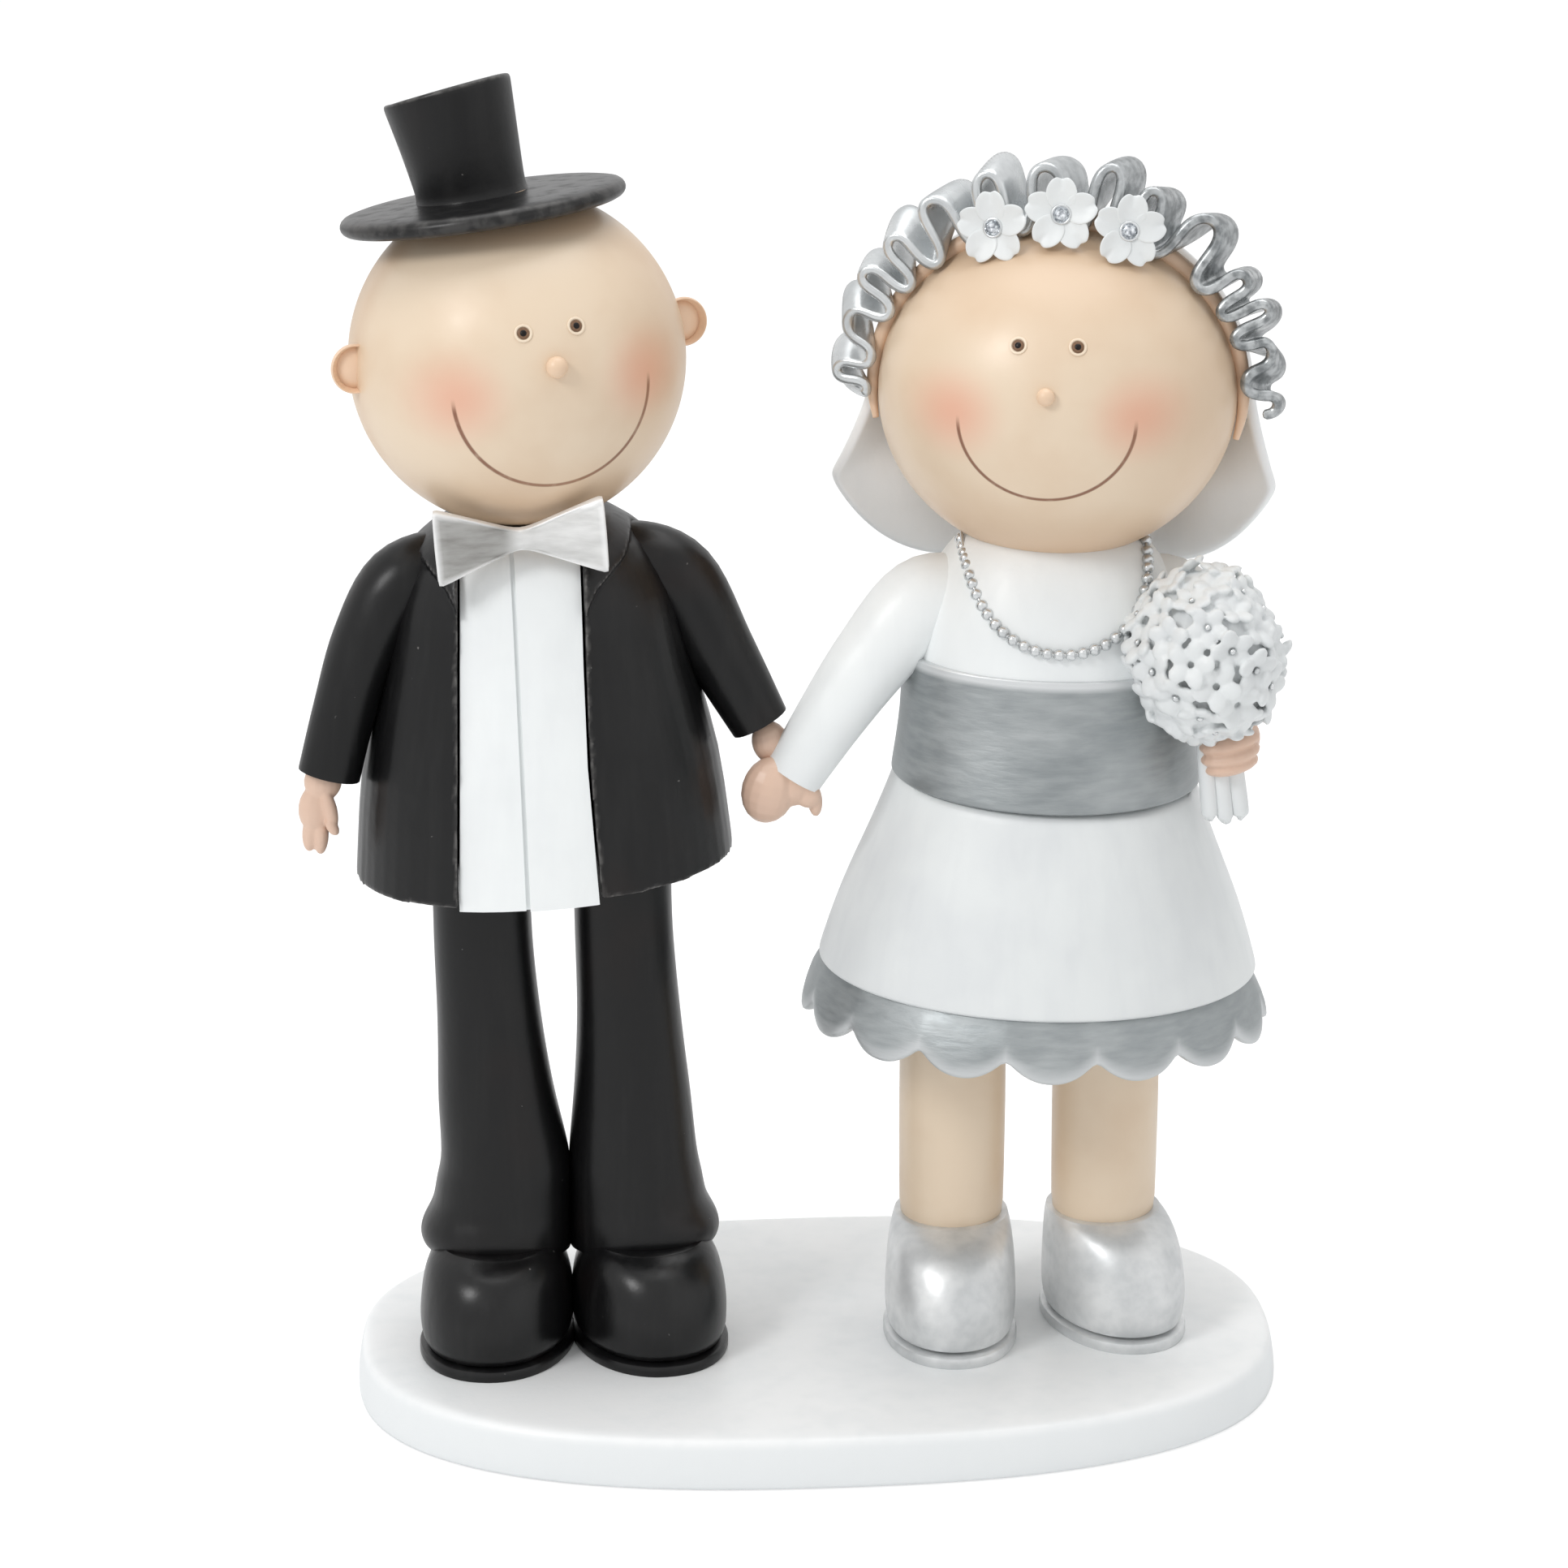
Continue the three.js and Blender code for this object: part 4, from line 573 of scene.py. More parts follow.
def tower(rows, sides, power=2.0, grow=0.0):
    # A body drawn up from a circle, one extrusion for each row: x, y, z, half width, half depth, roll and
    # pitch. Roll lifts the right side and pitch lifts the back, in degrees
    calm()
    bpy.ops.mesh.primitive_circle_add(vertices=sides, radius=mm, fill_type="NGON", location=(0, 0, 0))
    piece = bpy.context.object
    squared(piece, power)
    bpy.ops.object.mode_set(mode="EDIT")
    bpy.ops.mesh.select_all(action="SELECT")
    last = (0, 0, 0, 1, 1, 0, 0)
    for number, row in enumerate(rows):
        x, y, z, wide, deep, roll, pitch = row
        wide, deep = wide + grow, deep + grow
        step = tuple((a - b) * mm for a, b in zip((x, y, z), last[:3]))
        if number:
            bpy.ops.mesh.extrude_region_move(TRANSFORM_OT_translate={"value": step})
        else:
            bpy.ops.transform.translate(value=step)
        centre = (x * mm, y * mm, z * mm)
        bpy.ops.transform.resize(value=(wide / last[3], deep / last[4], 1), center_override=centre)
        for axis, turn in (("Y", roll - last[5]), ("X", last[6] - pitch)):
            if abs(turn) > 1e-6:
                bpy.ops.transform.rotate(value=math.radians(turn), orient_axis=axis, center_override=centre)
        last = (x, y, z, wide, deep, roll, pitch)
    done()
    facesOut(piece)
    return piece


def limb(stops, smoothness):
    # A round limb along a smooth path; stops are (x, y, z, radius) in mm
    calm()
    curve = bpy.data.curves.new("limb", "CURVE")
    curve.dimensions = "3D"
    curve.bevel_depth = 1.0
    curve.bevel_resolution = smoothness
    curve.use_fill_caps = True
    line = curve.splines.new("POLY")
    path = blended(stops, 6)
    line.points.add(len(path) - 1)
    for point, (x, y, z, radius) in zip(line.points, path):
        point.co = (x * mm, y * mm, z * mm, 1)
        point.radius = radius * mm
    piece = bpy.data.objects.new("limb", curve)
    bpy.context.scene.collection.objects.link(piece)
    only(piece)
    bpy.ops.object.convert(target="MESH")
    piece = bpy.context.object
    edit(piece)
    bpy.ops.mesh.select_all(action="SELECT")
    bpy.ops.mesh.remove_doubles(threshold=0.00001)
    done()
    facesOut(piece)
    return piece


def egg(place, half, lean, around=16):
    # A squashed ball, leaning about Y by some degrees
    calm()
    bpy.ops.mesh.primitive_uv_sphere_add(segments=around, ring_count=around * 5 // 8, radius=1,
                                         location=tuple(v * mm for v in place),
                                         rotation=(0, math.radians(lean), 0),
                                         scale=tuple(v * mm for v in half))
    piece = bpy.context.object
    fixPlace(piece)
    return piece


def ringAt(radius, thick, around, sides, up=0.0):
    bpy.ops.mesh.primitive_torus_add(major_radius=radius * mm, minor_radius=thick * mm, major_segments=around,
                                     minor_segments=sides, location=(0, 0, up * mm))
    return bpy.context.object


def copyOf(piece, matrix):
    # One more of a piece, with its own mesh, placed by a matrix
    only(piece)
    bpy.ops.object.duplicate(linked=False)
    again = bpy.context.object
    again.matrix_world = matrix
    return again


def edgeWearAndHighlight(piece, shareAt):
    # Stores, for the paint, how pale each point's edge is: wear and painted highlight
    layer = piece.data.attributes.new("edgeWearAndHighlight", "FLOAT", "POINT")
    for vertex, spot in zip(piece.data.vertices, layer.data):
        spot.value = shareAt(vertex.co / mm)


def wornAndLitEdges(piece, low, high):
    # Sharp outward edges get the most wear and painted highlight; the share is taken from how far the
    # neighbours of a point fall away
    mesh = piece.data
    falls = [[] for vertex in mesh.vertices]
    for edge in mesh.edges:
        for here, there in (edge.vertices, tuple(edge.vertices)[::-1]):
            away = (mesh.vertices[there].co - mesh.vertices[here].co).normalized()
            falls[here].append(-away.dot(mesh.vertices[here].normal))
    layer = mesh.attributes.new("edgeWearAndHighlight", "FLOAT", "POINT")
    for fall, spot in zip(falls, layer.data):
        spot.value = max(0.0, min(1.0, (sum(fall) / max(1, len(fall)) - low) / (high - low)))


bothSides = (("left", -1), ("right", 1))
groomAt, brideAt = (-29, 0, 6), (25, 0, 6)
figureAt = {"groom": groomAt, "bride": brideAt}
groomHeadAt, brideHeadAt = (-32.7, 0, 120.6), (26.2, 0, 116.0)
brideHeadHalf = (20.1, 18.5, 18.4)  # what the garland, the flowers and the veil are laid over
groomTurn, brideTurn = spin(-4.5, "Y") @ spin(12.2, "Z"), spin(-11.7, "Z")
groomHeadMatrix = placeAt(groomHeadAt) @ groomTurn
hatMatrix = groomHeadMatrix @ placeAt((-1.1, 0, 0)) @ spin(-5.5, "X") @ spin(-2.4, "Y")
brideHeadMatrix = placeAt(brideHeadAt) @ brideTurn


# Base plate

baseSettings = {"half": (53.0, 32.0), "high": 6.0, "square": 2.47, "draft": 0.5, "round": 1.1,
                "rings": (2.5, 4)}


def makeBase(s):
    wide, deep = s["half"]
    high, draft = s["high"], s["draft"]
    insets = ((0, 0.35), (0.4, 0.02), (2.5, 0.1), (high - 1.3, draft), (high - 0.6, draft + 0.16),
              (high - 0.16, draft + 0.55), (high, draft + s["round"] + 0.3))
    piece = tower(upright([(z, wide - inset, deep - inset) for z, inset in insets]), 96, s["square"])
    edit(piece)
    pickFaces(piece, lambda c, n: abs(n.z) > 0.99 and (c.z > high - 0.1 or c.z < 0.1))
    for ring in s["rings"]:
        setIn(ring)
    done()
    rounded(piece)
    finish(piece, "basePlate", basePaintedLightAndShade, ["base_plate"])


makeBase(baseSettings)
print("stage: base plate")


# Shoes, soles and legs

shoeSettings = {
    "groom": {
        "at": groomAt, "half": 8.6, "toe": 11.2, "heel": 12.2, "high": 12.6, "paint": shoeBlack,
        "feet": {"left": (-7.95, -2.9, -12), "right": (9.55, -2.9, 12)},
        "ankle": (0, 0.5, 6.4), "seam": -28.2,
    },
    "bride": {
        "at": brideAt, "half": 7.5, "toe": 11.2, "heel": 10.4, "high": 13.6, "paint": pearl,
        "feet": {"left": (-9.94, -3.4, -2), "right": (9.06, -1.2, 17)},
        "legs": {"left": (-9.5, 0.2, 0), "right": (8.1, 0.2, 0)}, "ankle": (0, 0, 6.5),
    },
    # Share of the height, share of the outline, and how far the outline has closed in on the ankle
    "rows": ((0.0, 0.93, 0), (0.05, 0.965, 0), (0.14, 0.99, 0), (0.28, 1.0, 0), (0.42, 1.0, 0.03),
             (0.55, 1.0, 0.1), (0.67, 1.0, 0.2), (0.78, 1.0, 0.34), (0.87, 1.0, 0.52), (0.94, 1.0, 0.74),
             (0.98, 1.0, 0.93), (1.0, 1.0, 1.0)),
    # Height, and how far in from the rim
    "sole": ((0, 0.1), (0.2, 0), (0.9, 0), (1.2, 0.12), (1.35, 0.4)),
    "lip": 0.15, "gap": 0.2, "square": 2.1,
}


def atSeam(piece, seam, side):
    # The two shoes meet in a plane between the legs, given by its x
    edit(piece)
    bpy.ops.mesh.select_all(action="SELECT")
    clear = {"clear_outer": True} if side == "left" else {"clear_inner": True}
    bpy.ops.mesh.bisect(plane_co=(seam * mm, 0, 0), plane_no=(1, 0, 0), use_fill=True, **clear)
    done()


def makeShoes(who, s, common):
    middle, deep = (s["heel"] - s["toe"]) / 2, (s["toe"] + s["heel"]) / 2
    low, lip = common["sole"][-1][0] + common["gap"], common["lip"]
    for side, foot in s["feet"].items():
        where = placeAt((s["at"][0] + foot[0], s["at"][1] + foot[1], s["at"][2])) @ spin(foot[2], "Z")
        x, y, ring = s["ankle"]
        if "legs" in s:
            x, y = (spin(-foot[2], "Z") @ (Vector(s["legs"][side]) - Vector((foot[0], foot[1], 0)))).xy
        rows = []
        for up, share, closed in common["rows"]:
            wide, long = s["half"] * share, deep * share
            rows.append((x * closed, middle + (y - middle) * closed, low + (s["high"] - low) * up,
                         wide + (ring - wide) * closed, long + (ring - long) * closed, 0, 0))
        shoe = tower(blended(rows, 2), 40, common["square"])
        rows = [(z, s["half"] + lip - inset, deep + lip - inset) for z, inset in common["sole"]]
        sole = tower(upright(rows, 0, middle), 56, common["square"])
        for piece in (shoe, sole):
            moveTo(piece, where)
            if "seam" in s:
                atSeam(piece, s["seam"], side)
        if "seam" not in s:
            rounded(shoe)
        finishSide(shoe, who, side, "shoe", s["paint"], 40)
        finishSide(sole, who, side, "sole", s["paint"], 40)


for figure in figureAt:
    makeShoes(figure, shoeSettings[figure], shoeSettings)
print("stage: shoes and soles")


trouserSettings = {
    "seam": 0.7, "y": 1.0,
    # z, radius, x of the left and the right leg where they part, pitch
    "rows": ((10.2, 7.5, None, -8.5), (10.7, 8.25, None, -8.5), (12.4, 8.6, None, -8.0),
             (14.2, 8.4, None, -6.0), (16.2, 7.85, None, -3.0), (19.0, 7.6, None, -1.5), (22.0, 7.3, None, 0),
             (28.5, 6.7, (-7.4, 7.95), 0), (34.5, 6.15, (-7.85, 7.8), 0), (40, 5.8, (-8.2, 7.6), 0),
             (46, 5.6, (-8.55, 7.3), 0), (52, 5.5, (-8.7, 7.1), 0), (63, 5.5, (-8.7, 7.1), 0)),
}


def makeTrousers(s):
    for side, sign in bothSides:
        rows = []
        for z, radius, apart, pitch in s["rows"]:
            x = apart[sign > 0] if apart else s["seam"] + sign * (radius - 0.05)
            rows.append((x, s["y"], z, radius, radius, 0, pitch))
        piece = tower(blended(shifted(rows, groomAt), 2), 40, 2.15)
        rounded(piece)
        finish(piece, "groom" + side.capitalize() + "Trouser", black, ["groom_" + side + "_trouser_leg"], 45)


makeTrousers(trouserSettings)


# Rows: share of the height, share of the radius
legSettings = {"radius": 6.05, "x": {"left": -9.5, "right": 8.1}, "y": 0.2, "low": 10.8, "high": 43,
               "rows": ((0, 0.97), (0.12, 0.99), (0.3, 1.0), (0.5, 1.01), (0.75, 1.0), (1, 0.99))}


def makeLegs(s):
    rows = [(s["low"] + (s["high"] - s["low"]) * up, s["radius"] * wide) for up, wide in s["rows"]]
    for side, x in s["x"].items():
        piece = tower(shifted(upright(rows, x, s["y"]), brideAt), 40)
        rounded(piece)
        finishSide(piece, "bride", side, "leg", skin)


makeLegs(legSettings)
print("stage: legs")


# Groom's jacket, shirt and tie

jacketSettings = {
    "hem": 58, "high": 39.5, "square": 2.15, "hemRoll": 3.7,
    # share of the height, x, half width, front, back, share of the hem's roll
    "rows": ((0, -1.6, 21.0, 18.0, 16.5, 1.0), (0.3, -1.9, 19.7, 16.9, 15.3, 0.5),
             (0.6, -2.2, 17.0, 15.0, 13.2, 0), (0.8, -2.3, 15.2, 13.6, 11.8, 0),
             (0.93, -2.4, 12.0, 11.4, 10.2, 0), (1.0, -2.5, 8.0, 8.4, 7.6, 0)),
    # The hollow under the hem: x, y, z from the hem, half width, half depth, roll, pitch
    "hollow": ((-1.6, -0.75, 55, 19.2, 15.4, 3.7, 0), (-1.6, -0.75, 59.8, 18.2, 14.4, 3.7, 0)),
    "shirtX": -4, "shirtTop": 6.35, "shirtHem": 7.75, "shirtLean": 0.35, "shirtInset": 0.75, "shirtDrop": 0.6,
    "placket": 0.4, "groove": 0.4, "lapel": 0.9, "voxel": 0.33,
    # The turned collar's edge: how far out from the opening, and how far up from the top of the jacket
    "flap": ((0, -10), (0.7, -7.4), (1.7, -5.6), (3.2, -4.3), (4.9, -2.9), (5.9, -1.2), (6.4, 1.5), (-5, 1.5),
             (-5, -2)),
    # The opening's right edge is drawn in a little between two heights over its foot
    "bendIn": 0.55, "bendFrom": 19, "bendTo": 30,
}


def jacketBody(s, grow=0.0, lower=0.0):
    rows = []
    for up, x, wide, front, back, roll in s["rows"]:
        z = s["hem"] + s["high"] * up - (lower if up == 0 else 0)
        rows.append((x, (back - front) / 2, z, wide, (front + back) / 2, roll * s["hemRoll"], 0))
    return tower(shifted(blended(rows, 3), groomAt), 56, s["square"], grow)


def prism(outline, nearY, farY):
    # A flat outline in X and Z on the groom, drawn through from the front at nearY to the back at farY
    calm()
    corners = [tuple((a + b) * mm for a, b in zip((x, nearY, z), groomAt)) for x, z in outline]
    mesh = bpy.data.meshes.new("prism")
    mesh.from_pydata(corners, [], [tuple(range(len(corners)))])
    piece = bpy.data.objects.new("prism", mesh)
    bpy.context.scene.collection.objects.link(piece)
    edit(piece)
    bpy.ops.mesh.select_all(action="SELECT")
    bpy.ops.mesh.extrude_region_move(TRANSFORM_OT_translate={"value": (0, (farY - nearY) * mm, 0)})
    done()
    facesOut(piece)
    return piece


def openingOutline(s, grow=0.0):
    low, high = s["hem"] - 4, s["hem"] + s["high"] + 2
    hem, top, x, lean = s["shirtHem"] + grow, s["shirtTop"] + grow, s["shirtX"], s["shirtLean"]
    bend = (hem + top) / 2 - s["bendIn"]
    return [(x + lean - hem, low), (x + lean + hem, low), (x + bend + 0.25, low + s["bendFrom"]),
            (x + bend, low + s["bendTo"]), (x + top, high), (x - top, high)]


def makeJacket(s):
    body = jacketBody(s)
    cut(body, prism(openingOutline(s, 0.25), -30, -8))
    cut(body, tower(shifted(s["hollow"], groomAt), 48))
    neck, edge = s["hem"] + s["high"], s["shirtTop"] + 0.1
    parts = [body]
    for side in (-1, 1):
        flap = jacketBody(s, s["lapel"])
        outline = [(s["shirtX"] + side * (edge + out), neck + up) for out, up in s["flap"]]
        cut(flap, prism(outline, -26, 0.5), "INTERSECT")
        cut(flap, prism(openingOutline(s, 0.25), -30, -8))
        parts.append(flap)
    band = jacketBody(s, s["lapel"])
    cut(band, prism([(-26, neck - 3), (20, neck - 3), (20, neck + 3), (-26, neck + 3)], 0, 24), "INTERSECT")
    piece = merged(parts + [band])
    melted(piece, s["voxel"], 4)
    wornAndLitEdges(piece, 0.07, 0.2)
    finish(piece, "groomJacket", black, ["groom_jacket"])


def makeShirt(s):
    x, low, high = s["shirtX"], s["hem"] - 4, s["hem"] + s["high"] + 2
    halves = []
    for over in (0, 1):
        half = jacketBody(s, -s["shirtInset"] + over * s["placket"], s["shirtDrop"])
        cut(half, prism(openingOutline(s), -30, -7.7), "INTERSECT")
        if over:
            placket = [(x + 0.4, low), (x + 20, low), (x + 20, high), (x - 0.8, high)]
            cut(half, prism(placket, -30, 10), "INTERSECT")
        else:
            groove = prism([(x - 0.05, low), (x + 0.45, low), (x - 0.75, high), (x - 1.25, high)], -30, 0)
            cut(groove, jacketBody(s, -s["shirtInset"] - s["groove"], s["shirtDrop"]))
            cut(half, groove)
        halves.append(half)
    finish(merged(halves), "groomShirtFront", clothPaintedLightWhite, ["groom_shirt_front"], 30)


makeJacket(jacketSettings)
makeShirt(jacketSettings)


tieSettings = {"half": 9.2, "end": 4.4, "knot": 1.1, "thick": 2.4, "at": (-4, -13.1, 97.9), "roll": 4,
               "sweep": 1.2, "rim": 0.35, "pressed": 0.28}


def makeTie(s):
    # Lofted from wing tip to wing tip, then each wing's face is pressed in behind a rim
    rows = []
    for share in (-1, -0.97, -0.75, -0.5, -0.28, -0.12, 0, 0.12, 0.28, 0.5, 0.75, 0.97, 1):
        reach = abs(share)
        high = s["knot"] + (s["end"] - s["knot"]) * max(0, reach - 0.06) / 0.94
        thick = s["thick"] * (0.36 + 0.14 * reach)
        if reach == 1:
            high, thick = high - 0.25, thick - 0.3
        rows.append((0, -s["sweep"] * reach, share * s["half"], high, thick, 0, 0))
    piece = tower(rows, 32, 4.0)
    edit(piece)
    for side in (-1, 1):
        pickFaces(piece, lambda c, n: n.y < -0.6 and 0.9 < side * c.z < s["half"] * 0.96 and abs(c.x) < 3.4)
        setIn(s["rim"], (0, s["pressed"], 0))
    done()
    rounded(piece)

    # Pale rims at the wing ends and edges: wear and painted highlight
    def wornAndLit(place):
        reach = abs(place.z) / s["half"]
        tall = s["knot"] + (s["end"] - s["knot"]) * reach
        return 0.8 * max(0.0, min(1.0, max((reach - 0.9) / 0.08, (abs(place.x) / tall - 0.78) / 0.16)))

    edgeWearAndHighlight(piece, wornAndLit)
    moveTo(piece, placeAt(shifted([s["at"]], groomAt)[0]) @ spin(90 - s["roll"], "Y"))
    finish(piece, "groomBowTie", tieSilver, ["groom_bow_tie"], 50)


makeTie(tieSettings)
print("stage: jacket, shirt and tie")


# Sleeves and hands

# The way along each sleeve: x, y, z, radius
armSettings = {
    "groom": {
        "left": ((-9.5, -0.6, 90, 3.8), (-11.5, -1, 91.6, 4.2), (-16.8, -2.4, 90.1, 4.4),
                 (-20.7, -3.5, 84, 3.9), (-23.3, -4.4, 76.6, 3.5), (-25.2, -5, 69.4, 3.45)),
        "right": ((6.6, -0.6, 90.6, 4.1), (8.6, -0.8, 91.8, 4.5), (13.4, -1.4, 89.7, 4.6),
                  (17.8, -2.2, 81.9, 4.0), (22.3, -3, 73.6, 3.3)),
    },
    "bride": {
        "left": ((-7, -0.4, 84.6, 4.2), (-9, -0.5, 86.6, 4.6), (-13.8, -1.6, 86.6, 4.9),
                 (-19.2, -3, 80.8, 4.5), (-23.8, -4, 74.6, 3.9), (-28.2, -4.6, 67.8, 3.3)),
        "right": ((7.6, -0.4, 84.8, 4.2), (9.6, -0.5, 86.4, 4.6), (14.6, -0.8, 85.8, 4.7),
                  (18.2, -2.6, 80, 4.1), (19.4, -7.2, 74.2, 3.3)),
    },
    "wall": 1.15, "deep": 0.8, "round": 0.54,
}


def makeSleeve(who, side, s, at, paint):
    stops = shifted(s[who][side], at)
    end, before = Vector(stops[-1][:3]), Vector(stops[-2][:3])
    ahead = (end - before).normalized()
    piece = limb(stops, 9)
    edit(piece)
    pickFaces(piece, lambda c, n: n.dot(ahead) > 0.9 and (c - end).length < 1.0)
    setIn(s["wall"], ahead * -s["deep"])
    done()
    modify(piece, "BEVEL", width=s["round"] * mm, segments=4, limit_method="ANGLE",
           angle_limit=math.radians(40))
    finishSide(piece, who, side, "sleeve", paint, 50)


# Each hand is a handful of eggs run together: x, y, z, three half sizes, lean
handSettings = {
    "groom": {
        "left": ((-25.9, -5.0, 68.6, 2.1, 1.7, 2.2, 8), (-26.7, -5.0, 65.6, 2.0, 1.5, 2.8, 8),
                 (-27.4, -4.8, 62.8, 0.95, 1.1, 2.3, 6), (-26.3, -5.0, 62.6, 0.9, 1.15, 2.4, 2),
                 (-25.2, -6.1, 65.8, 0.8, 0.85, 2.3, -12), (-25.0, -6.4, 63.8, 0.65, 0.7, 1.1, -30)),
        "right": ((23.5, -2.9, 71.2, 2.1, 1.8, 2.6, -20), (24.6, -2.4, 68.4, 1.9, 1.7, 2.9, -12),
                  (25.2, -1.7, 66.2, 2.0, 1.6, 2.6, -10)),
    },
    "bride": {
        "left": ((-30.9, -5.3, 66.5, 3.05, 2.6, 3.8, 14), (-28.4, -5.3, 66.9, 2.4, 1.9, 2.3, 10),
                 (-26.6, -5.9, 65.9, 1.5, 0.95, 1.4, 20), (-25.8, -5.4, 65.2, 0.85, 0.85, 1.9, -4)),
        "right": ((20.3, -10.2, 72.9, 2.6, 2.8, 2.6, -20), (19.2, -11.9, 73.0, 3.5, 2.8, 1.25, -14),
                  (19.3, -12.1, 71.6, 3.4, 2.7, 1.2, -14), (19.5, -11.8, 70.3, 3.1, 2.5, 1.05, -14)),
    },
    "voxel": 0.16,
}


def makeHand(who, side, s, at):
    piece = merged([egg(row[:3], row[3:6], row[6]) for row in shifted(s[who][side], at)])
    melted(piece, s["voxel"], 4)
    finishSide(piece, who, side, "hand", handPaint)


handPaint = makeSkin("handSkin", {**skinSettings, "colour": tone(224, 193, 172), "tan": tone(200, 152, 128)})
for figure, cloth in (("groom", black), ("bride", clothPaintedLightWhite)):
    for armSide in armSettings[figure]:
        makeSleeve(figure, armSide, armSettings, figureAt[figure], cloth)
for figure in figureAt:
    for armSide in handSettings[figure]:
        makeHand(figure, armSide, handSettings, figureAt[figure])
print("stage: sleeves and hands")


# Heads, ears, noses and eyes

# Angles across and up say where eyes and nose sit; the face's lengths are shares of its own half sizes
# In each face, brim gives the heights up the head over which the painted shade under the hat's brim or the
# garland comes in
headSettings = {
    "groom": {
        "half": (18.3, 18.3, 18.3), "nose": {"lift": 8.5, "radius": 1.18, "stand": 0.55},
        "eyes": {"across": 9.6, "lift": 20.7},
        "face": {"at": groomHeadAt, "turn": groomTurn, "half": (18.3, 18.3, 18.3), "smileUp": -0.008,
                 "smileReach": 0.581, "smileWidth": 0.27, "blushAcross": 0.56, "blushUp": 0.0,
                 "blushReach": 0.36, "blushShare": 0.48, "brim": (0.76, 0.84)},
    },
    "bride": {
        "half": (19.7, 18.5, 18.4), "nose": {"lift": 10.7, "radius": 0.98, "stand": 0.5},
        "eyes": {"across": 10.4, "lift": 27.3},
        "face": {"at": brideHeadAt, "turn": brideTurn, "half": brideHeadHalf, "smileUp": 0.027,
                 "smileReach": 0.473, "smileWidth": 0.27, "blushAcross": 0.5, "blushUp": 0.05,
                 "blushReach": 0.34, "blushShare": 0.5, "brim": (0.25, 1.0)},
    },
    "iris": (0.64, 0.64, 0.12), "pupil": (0.4, 0.4, 0.2), "ring": 0.84, "ringThick": 0.15, "ringFlat": 0.55,
    "neck": 1.2,
}


def seatOn(half, across, lift, stand=0.0):
    # A place on the head and the way out of it, for an angle across and one up
    a, e = math.radians(across), math.radians(lift)
    out = Vector((math.sin(a) * math.cos(e), -math.cos(a) * math.cos(e), math.sin(e)))
    normal = Vector(tuple(v / r for v, r in zip(out, half))).normalized()
    return placeAt(tuple((r + stand) * v for r, v in zip(half, out))) @ facing(normal)


def makeHead(who, s, common):
    ball = s["half"]
    where = placeAt(s["face"]["at"]) @ s["face"]["turn"]
    facePaint = makeSkin(who + "Face", skinSettings, s["face"])
    head = egg((0, 0, 0), ball, 0, 64)
    # A short neck is drawn down out of the foot of the ball
    edit(head)
    pickFaces(head, lambda c, n: c.z < -ball[2] * 0.97)
    bpy.ops.mesh.extrude_region_move(TRANSFORM_OT_translate={"value": (0, 0, -common["neck"] * mm)})
    done()
    # Each eye is a pinhole in a brown ring, with a low pale rim round it
    pupils, irises = [], []
    for side, sign in bothSides:
        seat = where @ seatOn(ball, sign * s["eyes"]["across"], s["eyes"]["lift"])
        ring = ringAt(common["ring"], common["ringThick"], 28, 10)
        ring.scale.z = common["ringFlat"]
        fixPlace(ring)
        moveTo(ring, seat)
        finish(ring, who + side.capitalize() + "EyeRing", palePaint)
        for kind, parts in (("iris", irises), ("pupil", pupils)):
            parts.append(moveTo(egg((0, 0, 0), common[kind], 0, 20), seat))
    moveTo(head, where)
    rounded(head)
    finish(head, who + "Head", facePaint, [who + "_head"])
    finish(merged(pupils), who + "Pupils", ink)
    finish(merged(irises), who + "Irises", iris)
    nose = s["nose"]
    tip = egg((0, 0, 0), (nose["radius"], nose["radius"], nose["radius"] * 0.85), 0, 20)
    moveTo(tip, where @ seatOn(ball, 0, nose["lift"], nose["stand"]))
    rounded(tip)
    finish(tip, who + "Nose", nosePaint, [who + "_nose"])


palePaint = makeSkin("paleSkin", {**skinSettings, "colour": tone(238, 220, 196), "tan": tone(214, 182, 150)})
nosePaint = makeSkin("noseSkin", {**skinSettings, "colour": tone(232, 203, 174), "tan": tone(220, 180, 144)})
earPaint = makeSkin("earSkin", {**skinSettings, "colour": tone(238, 206, 177), "tan": tone(218, 168, 134)})
for figure in figureAt:
    makeHead(figure, headSettings[figure], headSettings)


earSettings = {"half": (2.6125, 2.75, 1.65), "out": 18.3, "sink": 0.22, "lift": 5.8, "turn": 83}


def makeEars(s):
    lift, turn = math.radians(s["lift"]), math.radians(s["turn"])
    reach = s["out"] * math.cos(lift) + s["sink"]
    for side, sign in bothSides:
        ear = egg((0, 0, 0), s["half"], 0, 24)
        # Made lying on its back: its face is set in twice and pushed down, a bowl with a rolled rim
        edit(ear)
        pickFaces(ear, lambda c, n: n.z > 0.45)
        setIn(0.3, (0, 0, -0.6))
        setIn(0.35, (sign * -0.3, 0, -0.9))
        done()
        rounded(ear, 2)
        modify(ear, "SMOOTH", iterations=3, factor=0.5)
        place = (sign * reach * math.sin(turn), -reach * math.cos(turn), s["out"] * math.sin(lift))
        moveTo(ear, groomHeadMatrix @ placeAt(place) @ spin(90, "X"))
        finishSide(ear, "groom", side, "ear", earPaint)


makeEars(earSettings)

headBandSettings = {"half": brideHeadHalf, "stand": 0.15, "y": -0.9, "radius": 1.15, "from": -101, "to": 105,
                    "steps": 24}


